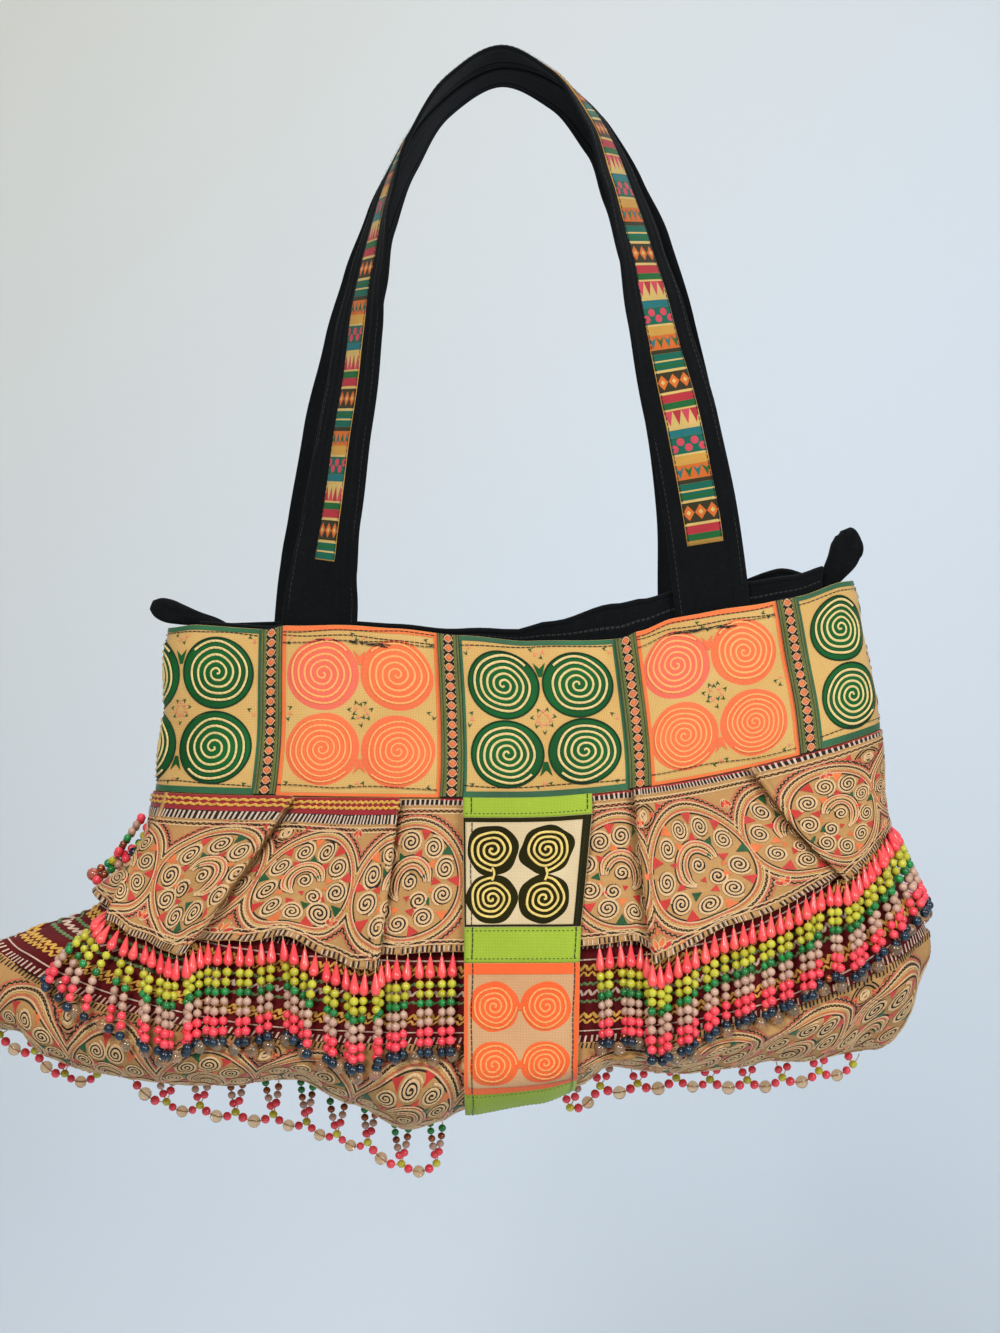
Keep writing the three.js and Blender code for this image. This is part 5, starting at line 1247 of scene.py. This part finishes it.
for back in (False, True):
    side = "back" if back else "front"
    # the ribbon band's cloth carries the braid colour with its painted shade
    bp = body("cloth_braid_" + side, 1.89, 2.995, 20, back, 31, "braid_red", "red_braid", "braid_" + side)
    Wb, Hb = bp.s[-1], bp.h[-1]
    base = line((0.5, 0), (Wb - 0.5, 0), 0.95)
    for frac, mat, amp, per, width in (
        (0.16, "rick_white", 0.0, 1, 0.9), (0.235, "rick_yellow", 1.5, 4.6, 1.7), (0.295, "rick_yellow", 1.2, 4.6, 1.3), (0.39, "rick_green", 0.7, 3.4, 1.5), (0.48, "rick_white", 1.5, 4.8, 1.6),
        (0.57, "rick_green", 0.7, 3.4, 1.5), (0.72, "rick_yellow", 1.5, 4.6, 1.7), (0.78, "rick_yellow", 1.2, 4.6, 1.3), (0.88, "rick_white", 0.0, 1, 0.8),
    ):
        ln = base.copy()
        ln[:, 1] = frac * Hb
        if amp:
            ln = wavy(ln, amp, per)
        ribbon(store("braid_" + mat[5:], mat, "red_braid"), bp, ln if amp else ln[::3], width, 0.6, 0.3)
    ladder(store("ladder_light", "rick_white", "embroidered_cloth"), bp, 0.5, Wb - 0.5, Hb - 4.4, Hb - 0.6, 2.8, 1.0, 0.35, 8)
    ladder(store("ladder_light", "rick_white", "embroidered_cloth"), bp, 0.5, Wb - 0.5, 0.6, 3.6, 2.8, 1.0, 0.35, 9)
    # plain cloth behind the tier, which closes the bag between the top band and the ribbon band
    tl = np.linspace(PI, 2 * PI, 90) if back else np.linspace(0, PI, 90)
    TL, VL = np.broadcast_arrays(tl[:, None], np.linspace(0.95, 1.93, 14)[None, :])
    pl = sewn(at(TL, VL, -1.8 - (VALLEY + 2.2) * smooth((VL - 0.95) / 0.1)), VL, back)
    sl = np.concatenate([[0], np.cumsum(np.linalg.norm(np.diff(pl[:, 7], axis=0), axis=1))])
    hl = np.concatenate([[0], np.cumsum(np.linalg.norm(np.diff(pl, axis=1), axis=2).mean(0))])
    lining_ob = Patch(pl, sl, hl).cloth("cloth_lining_" + side, "embroidered_beige", "embroidered_cloth", [])
    lp = body("cloth_lower_" + side, 2.985, 6.0, 40, back, 33, "embroidered_beige", "embroidered_cloth", "lower_" + side)
    Wl, Hl = lp.s[-1], lp.h[-1]
    n = int(round(Wl / 56))
    for q in range(n + 1):
        embroider(lp, (q + 0.2) * Wl / n, Hl * 0.42, Wl / n / CELL_W, 0.98, 1 if q % 2 else -1, (0, Wl, 3.6, Hl), 400 + 50 * back + q, "lower", 0.3 * math.sin(1.7 * q))
    ladder(store("ladder_dark", "thread_dark", "embroidered_cloth"), lp, 0.5, Wl - 0.5, 0.4, 3.4, 2.4, 0.9, 0.3, 10)

# ---------------------------------------------------------------- the panel down the front
PANEL = (
    ("lime_top", 1.004, 1.13, (-20, -20), (50, 50), "lime_cotton", "lime_cotton"),
    ("olive", 1.13, 1.8, (-20, -19), (50, 43), "olive_ground", "olive_patch"),
    ("lime_middle", 1.8, 2.06, (-19, -19), (43, 42), "lime_cotton", "lime_cotton"),
    ("orange", 2.06, 4.13, (-19, -19), (42, 40), "orange_ground", "spiral_orange"),
    ("lime_bottom", 4.13, 5.05, (-19, -19), (40, 39), "lime_cotton", "lime_cotton"),
)
PANEL_OFF = np.array([1, 3.4, 7.6, 6, 4.4, 3.2, 3], float)
panel_patches = {}
for name, v0, v1, left, right, material, slot in PANEL:
    rows, cols = max(8, int((v1 - v0) * 30)), 26
    f = np.linspace(0, 1, rows)
    v = v0 + (v1 - v0) * f
    u = np.linspace(0, 1, cols)[:, None]
    x = (left[0] + (left[1] - left[0]) * f)[None, :] * (1 - u) + (right[0] + (right[1] - right[0]) * f)[None, :] * u
    VVp = np.broadcast_to(v, x.shape)
    off = through(PANEL_OFF, VVp) + 2.0 + waves(x, VVp * 60, 51, 50, 0.7) - 0.5 * np.exp(-((u * 66 / 4) ** 2)) - 0.5 * np.exp(-(((1 - u) * 66 / 4) ** 2))
    p = at(front_angle(x, VVp), VVp, off)
    s = np.concatenate([[0], np.cumsum(np.linalg.norm(np.diff(p[:, rows // 2], axis=0), axis=1))])
    h = np.concatenate([[0], np.cumsum(np.linalg.norm(np.diff(p[cols // 2], axis=0), axis=1))])
    pp = panel_patches[name] = Patch(p, s, h)
    ob = pp.cloth("cloth_panel_" + name, material, slot, ["panel_" + name], 1.5)
    W, H = s[-1], h[-1]
    black = store("panel_stitching", "thread_black", slot)
    for ss in (4.2, W - 3.0):
        ln = line((ss, 0.2), (ss, H - 0.2), 3)
        ln[:, 0] += waves(ln[:, 1], 0 * ln[:, 1], 77, 50, 0.4)
        dashes(black, pp, ln, 2.4, 0.5, 0.55, 0.5, 0.2)
    if material == "lime_cotton":
        for hh in ((H - 2.2,) if name == "lime_top" else (2.0, H - 2.2)):
            dashes(store("panel_dots", "silk_green", "lime_cotton"), pp, line((1.5, hh), (W - 1.5, hh), 3), 1.0, 1.3, 0.5, 0.25, 0.15)
    elif name == "olive":
        st = store("panel_olive_cloth", "olive_applique", "olive_patch")
        rect(st, pp, 0.2, W - 0.2, 0.2, 2.6, 0.3)
        rect(st, pp, W - 4.6, W - 0.2, 0.2, H - 0.4, 0.3)
        rect(st, pp, 0.2, 1.2, 0.2, H - 0.2, 0.3)
        rect(st, pp, 0.2, W - 0.2, H - 1.4, H - 0.2, 0.3)
        cords = store("panel_olive_cords", "cord_olive", "olive_patch")
        rx, ry = 14.3, 0.232 * H
        for c in range(2):
            cx = (15.4, 43.8)[c] * W / 66
            for q in range(2):
                centre = np.array([cx, (0.30, 0.745)[q] * H])
                disc(st, pp, centre, ry, 0.3, 0.4, 5, 56, 0.07, 900 + 3 * c + q, squash=(rx / ry, 1), lobes_of=(2, 3, 4, 6))
                turns = (3.6, 3.8, 3.9, 3.5)[2 * c + q]
                way = 1 if (c + q) % 2 else -1
                end = PI / 2 if q == 0 else -PI / 2
                ribbon(cords, pp, centre + spiral(ry - 2.6, turns, 1.5, end - way * 2 * PI * turns, way, 0.5, (rx / ry, 1), wobble=0.02, seed=c + 2 * q), 1.3, 0.6, 0.75)
            mid_c = np.array([cx, 0.522 * H])
            ribbon(st, pp, line(mid_c - (0, 4.5), mid_c + (0, 4.5), 1.5), 4.2, 0.1, 0.35)
            ribbon(cords, pp, [mid_c + (0, -3.6), mid_c + (0.9, -1.8), mid_c + (1.1, 0), mid_c + (0.6, 1.8), mid_c + (0, 3.6)], 1.2, 0.5, 0.75)
    elif name == "orange":
        st = store("panel_orange_cloth", "orange_bright", "spiral_orange")
        rect(st, pp, 0.2, W - 0.2, 0.2, 6.0, 0.3)
        rect(st, pp, 0.2, W - 0.2, H - 4.5, H - 0.2, 0.3)
        rect(st, pp, 0.2, 2.0, 0.2, H - 0.2, 0.3)
        rect(st, pp, W - 2.6, W - 0.2, 0.2, H - 0.2, 0.3)
        cords = store("panel_orange_cords", "cord_orange", "spiral_orange")
        for q in range(2):
            for c in range(2):
                rx, ry = 13.3 * W / 60, (13.4, 12.0)[q]
                centre = np.array([(0.262, 0.712)[c] * W, (0.325, 0.752)[q] * H])
                disc(st, pp, centre, ry, 0.3, 0.5, 5, 48, 0.04, 950 + 3 * c + q, squash=(rx / ry, 1), lobes_of=(2, 3, 4, 6))
                turns = (4.2, 4.0, 3.8, 4.1)[2 * q + c]
                way = 1 if (c + q) % 2 else -1
                end = 0.0 if c == 0 else PI
                ribbon(cords, pp, centre + spiral(ry - 1.7, turns, 1.5, end - way * 2 * PI * turns, way, 0.5, (rx / ry, 1), wobble=0.015, seed=c + 2 * q), 1.0, 0.5, 0.8)
            mid_c = np.array([0.487 * W, (0.325, 0.752)[q] * H])
            ribbon(st, pp, line(mid_c - (3.5, 0), mid_c + (3.5, 0), 1.2), 4.0, 0.1, 0.35)

# ---------------------------------------------------------------- beads
def ball(segs, rings):
    a = np.arange(segs) / segs * 2 * PI
    b = np.linspace(0, PI, rings + 1)[1:-1]
    v = [np.array([[0, 0, 1.0]])] + [np.stack([np.sin(x) * np.cos(a), np.sin(x) * np.sin(a), np.full(segs, np.cos(x))], -1) for x in b] + [np.array([[0, 0, -1.0]])]
    return np.concatenate(v), lathe_faces(segs, rings - 1)


def lathe_faces(segs, loops):
    i = np.arange(segs)
    j = (i + 1) % segs
    last = 1 + loops * segs
    tris = np.concatenate([np.stack([np.zeros(segs, int), 1 + i, 1 + j], -1), np.stack([1 + (loops - 1) * segs + j, 1 + (loops - 1) * segs + i, np.full(segs, last)], -1)])
    quads = np.concatenate([np.stack([1 + k * segs + i, 1 + (k + 1) * segs + i, 1 + (k + 1) * segs + j, 1 + k * segs + j], -1) for k in range(loops - 1)])
    return np.concatenate([tris, quads[:, [0, 1, 2]], quads[:, [0, 2, 3]]])


def lathe(profile, segs):
    """profile: (distance along the axis from the top, radius), without the two end points."""
    a = np.arange(segs) / segs * 2 * PI
    loops = [np.stack([r * np.cos(a), r * np.sin(a), np.full(segs, -z)], -1) for z, r in profile]
    z0, z1 = profile[0][0] - 0.02, profile[-1][0] + 0.02
    return np.concatenate([[[0, 0, -z0]], *loops, [[0, 0, -z1]]]), lathe_faces(segs, len(profile))


BALL = ball(12, 6)
DROP = lathe(((0.0, 0.5), (0.5, 0.85), (2.0, 1.15), (4.0, 1.6), (6.0, 2.1), (8.0, 2.6), (9.6, 2.85), (11.0, 2.75), (12.0, 2.2), (12.7, 1.3), (13.0, 0.5)), 14)
BEADS = {}


def bead(kind, centre, axis, size):
    BEADS.setdefault(kind, []).append((*centre, *axis, size))


def frames_of(axis):
    z = -unit(axis)
    ref = np.where(np.abs(z[:, :1]) > 0.9, np.array([[0, 1.0, 0]]), np.array([[1.0, 0, 0]]))
    x = unit(np.cross(ref, z))
    return x, np.cross(z, x), z


def make_beads():
    for kind, rows in BEADS.items():
        a = np.array(rows)
        c, ax, size = a[:, :3], a[:, 3:6], a[:, 6]
        tv, tf = DROP if kind == "drop" else BALL
        x, y, z = frames_of(ax)
        k = 1.0 if kind == "drop" else 0.5
        pts = c[:, None] + k * size[:, None, None] * (tv[None, :, :1] * x[:, None] + tv[None, :, 1:2] * y[:, None] + tv[None, :, 2:] * z[:, None] * (1.0 if kind == "drop" else 0.95))
        faces = (tf[None] + (np.arange(len(a)) * len(tv))[:, None, None]).reshape(-1, 3)
        nodes = {"drop": ["fringe_left", "fringe_right"], "coral": ["net_bottom_left", "net_bottom_right", "net_back"]}.get(kind, [])
        piece("beads_" + kind, pts.reshape(-1, 3), faces, "bead_" + kind, "beads", nodes)


THREADS = []


def string(pts):
    THREADS.append(np.asarray(pts, float))


# one strand of the fringe from the top: bead and its size along the strand
SIZES = {"yellow": 4.95, "green": 4.7, "beige": 4.9, "coral": 5.25, "navy": 5.6, "clear": 7.6, "bronze": 4.7}
STRAND = ("yellow", "yellow", "green", "beige", "beige", "coral", "coral", "navy")
DROP_LONG = 12.0


def strand_path(t):
    """A strand follows the bag near its ends; elsewhere it hangs straight down and rests on the body where that stands out."""
    v = np.arange(2.0, 5.0, 0.03)
    line_p = form(np.full(len(v), t), v)
    length = np.concatenate([[0], np.cumsum(np.linalg.norm(np.diff(line_p, axis=0), axis=1))])
    lift, dip = tier_lift(np.array([t]), np.array([2.0]))
    lift, dip = lift[0], dip[0]
    hem = at(np.array([t]), np.array([2.0]), np.array([lift - 0.8]), dip)[0]
    ang = front_angle(line_p[0, 0], v)
    body_p = at(ang, v, lower_lift(ang, v))
    order = np.argsort(-body_p[:, 2])
    straight = float(smooth(min(t, PI - t) / 0.7)) if t < PI else 0.0

    def place(down, out=0.0, shift=0.0):
        down = np.atleast_1d(np.asarray(down, float))
        low = dip * smooth(down / 30)
        vv = np.interp(down + low, length, v)
        hang = (lift - 0.8) * (1 - 0.45 * smooth(down / 50))
        tt = np.full(len(down), t)
        off = np.maximum(hang, lower_lift(tt, vv) + 4.4 * smooth(down / 8))
        n = outward(tt, vv)
        lying = form(tt, vv) + n * off[:, None]
        lying[:, 2] -= dip - low
        z = hem[2] - down
        y = np.interp(-z, -body_p[order, 2], body_p[order, 1])
        hung = np.stack([np.full(len(down), hem[0]), np.minimum(hem[1], y - 4.2 * smooth(down / 8)), z], -1)
        p = lying + (hung - lying) * straight
        n = unit(n + (np.array([0, -1.0, 0]) - n) * straight)
        side = unit(np.cross(np.array([0, 0, 1.0]), n))
        return p + n * (out * smooth(down / 10))[:, None] + side * (shift * smooth(down / 36))[:, None]

    return place


def even_angles(t0, t1, v, pitch, off=4.0):
    t = np.linspace(t0, t1, 1500)
    p = at(t, np.full(1500, v), np.full(1500, off) if np.isscalar(off) else off)
    length = np.concatenate([[0], np.cumsum(np.linalg.norm(np.diff(p, axis=0), axis=1))])
    return np.interp(np.linspace(0, length[-1], int(round(length[-1] / pitch)) + 1), length, t)


BUNCH = (2, 3, 2, 2, 3, 2, 1, 3, 2, 2, 4, 2, 3)  # how many neighbouring strands lean together
fringe_no = 0
for part, (x0, x1, pitch) in enumerate(((front_angle(-214, 2.0), front_angle(-25, 2.0), 6.1), (front_angle(53, 2.0), PI * 1.055, 5.6))):
    fine = np.linspace(x0, x1, 1500)
    hem_lift = tier_lift(fine, np.full(1500, 2.0))[0]
    angles = even_angles(x0, x1, 2.0, pitch, hem_lift)
    group, place_in, size_of = [], [], []
    while len(group) < len(angles):
        n = BUNCH[len(set(group)) % len(BUNCH)]
        group += [len(set(group))] * n
        place_in += list(range(n))
        size_of += [n] * n
    for k, t in enumerate(angles):
        g = np.random.default_rng(7000 + fringe_no)
        fringe_no += 1
        place = strand_path(t)
        n = size_of[k]
        lean = -(place_in[k] - (n - 1) / 2) * pitch * 0.34 + g.normal(0, 0.35) - (part == 0) * 11 * smooth(1 - k / 7)
        layer = (0.0, 2.7)[place_in[k] % 2] + (1.2 if n > 2 and place_in[k] == 1 else 0) + g.uniform(0, 0.6)
        d = 1.7 + g.uniform(0, 0.9)
        top = place([d, d + DROP_LONG], layer, lean)
        bead("drop", top[0], top[1] - top[0], DROP_LONG / 13.0)
        string(place(np.array([-0.2, 0.8, d + 1.0]), layer, lean))
        d += DROP_LONG + 0.1
        start = d
        for kind in STRAND:
            size = SIZES[kind] * g.uniform(0.95, 1.05)
            c = place([d + size / 2 - 0.5, d + size / 2, d + size / 2 + 0.5], layer, lean)
            bead(kind, c[1], c[2] - c[0], size)
            d += size * 0.985
        string(place(np.linspace(start - 1, d - 2, 8), layer, lean))
    # the row of clear beads behind the strands' ends
    for k, t in enumerate(even_angles(x0, x1, 3.0, 11.8)):
        g = np.random.default_rng(8000 + k)
        place = strand_path(t)
        c = place([54.5 + g.uniform(-1.5, 2.0)], -0.3, 0.0)[0]
        bead("clear", c, np.array([0, 0, -1.0]), 7.6 * g.uniform(0.93, 1.05))
        if k % 4 == 1:
            bead("bronze", place([49.0], -0.6, 3.0)[0], np.array([0, 0, -1.0]), 4.7)


def along_beads(curve, kinds, start, stop, shrink=1.0, fill=False, seed=0):
    """Beads threaded on a curve from start, until stop or the kinds run out."""
    g = np.random.default_rng(seed)
    length = np.concatenate([[0], np.cumsum(np.linalg.norm(np.diff(curve, axis=0), axis=1))])
    spot = lambda d: np.array([np.interp(d, length, curve[:, i]) for i in range(3)])
    d, n = start, 0
    while n < len(kinds) or fill:
        kind = kinds[min(n, len(kinds) - 1)]
        size = SIZES[kind] * shrink * g.uniform(0.96, 1.03)
        if d + size > stop + 0.8:
            break
        c = spot(d + size / 2)
        bead(kind, c, spot(d + size / 2 - 0.4) - spot(d + size / 2 + 0.4) + 1e-6, size)
        d += size * 0.99
        n += 1


def net(pairs, knots, leg, swag, seed, unseen=()):
    """Knots hung by two beaded legs each, and beaded swags from knot to knot, but for those that run behind the cloth."""
    curve_q = np.linspace(0, 1, 40)[:, None]
    for k, (knot, tops) in enumerate(zip(knots, pairs)):
        bead("yellow", knot, np.array([0, 0, -1.0]), 4.9)
        for s, top in enumerate(tops):
            bow = knot * 0.42 + top * 0.58 + (top - np.mean(tops, axis=0)) * 0.35
            curve = (1 - curve_q) ** 2 * knot + 2 * curve_q * (1 - curve_q) * bow + curve_q ** 2 * top
            total = np.linalg.norm(np.diff(curve, axis=0), axis=1).sum()
            string(curve[::4])
            along_beads(curve, leg, 2.6 + 1.6 * s, total + 0.5, 0.94, True, seed + 10 * k + s)
    for k, (a, b) in enumerate(zip(knots[:-1], knots[1:])):
        if k in unseen:
            continue
        curve = a + (b - a) * curve_q - np.array([0, 0, swag * 4]) * curve_q * (1 - curve_q)
        total = np.linalg.norm(np.diff(curve, axis=0), axis=1).sum()
        string(curve[::5])
        run = ("coral", "clear", "coral")
        shrink = min((total - 4.4) / sum(SIZES[x] for x in run), 1.05)
        along_beads(curve, run, (total - shrink * sum(SIZES[x] for x in run)) / 2, total, shrink, False, seed + 500 + k)


NETS = (
    np.array([(-282, 4), (-267, 8), (-259, 15), (-236, 12), (-225, 3), (-203, 2.5), (-191, 12), (-185, 18), (-172, 16), (-159, 14), (-142, 18), (-120, 22), (-103, 26), (-83, 21), (-60, 23), (-36, 24)], float),
    np.array([(40, 15), (76, 8), (94, 7), (118, 8), (130, 12), (146, 11), (171, 8), (200, 6)], float),
)
for part, table in enumerate(NETS):
    g = np.random.default_rng(60 + part)
    angles = even_angles(front_angle(table[0, 0], 6.0), front_angle(table[-1, 0], 6.0), 6.0, 19.5, 0.0)
    seam = form(angles, np.full(len(angles), 6.0))
    seam[:, 1] = -10
    knots, pairs, drops = [], [], []
    for p in seam:
        drop = along_x(table, np.array([p[0]]))[0]
        drops.append(drop)
        knots.append(p + np.array([g.normal(0, 0.8), g.normal(0, 0.8), -drop - 1.0 + g.normal(0, 0.8)]))
        half = g.uniform(3.2, 4.6)
        pairs.append([p + np.array([-half, 0, -0.5]), p + np.array([half, 0, -0.5])])
    net(pairs, knots, ("coral", "beige", "bronze", "green", "green"), 4.5, 9000 + 2000 * part, [k for k in range(1, len(drops) - 1) if max(drops[k], drops[k + 1]) < 6])
# the back's net, from the left end round the back
angles = even_angles(PI * 1.99, PI * 1.1, 1.3, 20.0, 6.0)
lying = lambda t, v, off: at(np.array([t]), np.array([v]), tier_lift(np.array([t]), np.array([v]))[0] + off)[0]
knots, pairs = [], []
for k, t in enumerate(angles):
    g = np.random.default_rng(66 + k)
    knots.append(lying(t + g.normal(0, 0.004), 1.74 + g.uniform(-0.05, 0.05), 6.6))
    pairs.append([lying(t - 0.022, 1.2, 4.4), lying(min(t + 0.022, 2 * PI - 0.002), 1.2, 4.4)])
net(pairs, knots, ("coral", "bronze", "green", "beige", "beige", "coral", "navy", "yellow", "yellow", "coral"), 4.5, 15000)
# a bunch of its strands at the left end
for k, (t, out, kinds) in enumerate((
    (1.990, (1.5, 3.0), ("coral", "yellow", "yellow", "navy", "coral", "beige", "green", "bronze", "coral", "beige")),
    (1.978, (2.0, 7.5), ("yellow", "yellow", "green", "coral", "coral", "beige", "green", "bronze", "clear", "coral")),
    (1.962, (3.0, 5.0), ("coral", "yellow", "navy", "coral", "beige", "green", "bronze", "beige", "coral")),
)):
    vv = np.linspace(1.26, 1.95, 30)
    tt = np.full(30, PI * t)
    curve = at(tt, vv, tier_lift(tt, vv)[0] + out[0] + (out[1] - out[0]) * smooth((vv - 1.25) / 0.65))
    string(curve[::3])
    along_beads(curve, kinds, 0.5, 90.0, 1.06, False, 17000 + k)
make_beads()

# threads through the beads
tv, tf, ta = [], [], 0
for pts in THREADS:
    n = len(pts)
    d = unit(np.gradient(pts, axis=0))
    x = unit(np.cross(d, np.array([0.31, 0.94, 0.1])))
    y = np.cross(d, x)
    q = np.arange(5) / 5 * 2 * PI
    ring = pts[:, None] + 0.32 * (np.cos(q)[None, :, None] * x[:, None] + np.sin(q)[None, :, None] * y[:, None])
    tv.append(ring.reshape(-1, 3))
    i = np.arange(5)
    j = (i + 1) % 5
    tf.append(np.concatenate([np.stack([c * 5 + i, c * 5 + j, (c + 1) * 5 + j, (c + 1) * 5 + i], -1) for c in range(n - 1)]) + ta)
    ta += n * 5
tv = np.concatenate(tv)
piece("bead_threads", tv, np.concatenate(tf), "cord_beige", "beads", uv=tv[:, [2, 0]])

for name, (st, material, slot) in STORES.items():
    st.make(name, material, slot)

# ---------------------------------------------------------------- stage, light and camera
# a pale floor that curves up into a backdrop
n_c, n_r = 3, 40
arc = np.linspace(0, PI / 2, 20)
side_y = np.concatenate([np.linspace(-2400, 900, 10), 900 + 500 * np.sin(arc), np.full(10, 1400.0)])
side_z = np.concatenate([np.full(10, -1450.0), -950 - 500 * np.cos(arc), np.linspace(-900, 2200, 10)])
sweep = np.stack([np.stack([np.full(n_r, x), side_y, side_z], -1) for x in (-2600.0, 0.0, 2600.0)])
me = bpy.data.meshes.new("backdrop")
me.from_pydata((sweep.reshape(-1, 3) * 0.001).tolist(), [], grid_faces(n_c, n_r).tolist())
for poly in me.polygons:
    poly.use_smooth = True
floor = bpy.data.objects.new("backdrop", me)
bpy.context.scene.collection.objects.link(floor)
fm, nt, b, link = new_material("floor_pale")
where = nt.nodes.new("ShaderNodeTexCoord")
axes = nt.nodes.new("ShaderNodeSeparateXYZ")
link(where.outputs["Object"], axes.inputs["Vector"])
# painted light: the backdrop's colour ramps diagonally from a warm tint at the top left to a cooler, lighter tint at
# the bottom right, as uneven light would fall on a wall
light_tint_slant = mathed(nt, link, "SUBTRACT", axes.outputs["X"], axes.outputs["Z"])
link(mixed(nt, link, ramp(nt, link, light_tint_slant, -1.0, 0.45), lin(214, 214, 207), lin(219, 227, 235)), b.inputs["Base Color"])
b.inputs["Roughness"].default_value = 0.9
b.inputs["Specular IOR Level"].default_value = 0.1
floor.data.materials.append(fm)

world = bpy.context.scene.world or bpy.data.worlds.new("World")
bpy.context.scene.world = world
world.use_nodes = True
bg = world.node_tree.nodes["Background"]
bg.inputs["Color"].default_value = lin(214, 220, 224)
bg.inputs["Strength"].default_value = 0.445


def area(name, place, aim, size, power, colour=(1, 1, 1)):
    li = bpy.data.lights.new(name, "AREA")
    li.shape, li.size, li.energy, li.color = "DISK", size, power, colour
    ob = bpy.data.objects.new(name, li)
    bpy.context.scene.collection.objects.link(ob)
    ob.location = place
    from mathutils import Vector
    ob.rotation_euler = (Vector(aim) - Vector(place)).to_track_quat("-Z", "Y").to_euler()


area("key", (-0.6, -2.0, 0.9), (0, 0, -0.42), 0.7, 36, (1.0, 0.97, 0.93))
area("fill", (1.4, -1.7, 0.3), (0.1, 0, -0.42), 1.2, 28, (0.95, 0.98, 1.0))
area("top", (0.1, 0.3, 1.2), (0, 0, -0.4), 1.2, 10)

cam = bpy.data.cameras.new("camera")
cam.sensor_fit = "VERTICAL"
cam.angle = 2 * math.atan(666.5 / 2281)
cam_ob = bpy.data.objects.new("camera", cam)
cam_ob.location = (0, -1.3, -0.34)
cam_ob.rotation_euler = (PI / 2, 0, 0)
bpy.context.scene.collection.objects.link(cam_ob)
bpy.context.scene.camera = cam_ob
bpy.context.scene.view_settings.view_transform = "Standard"
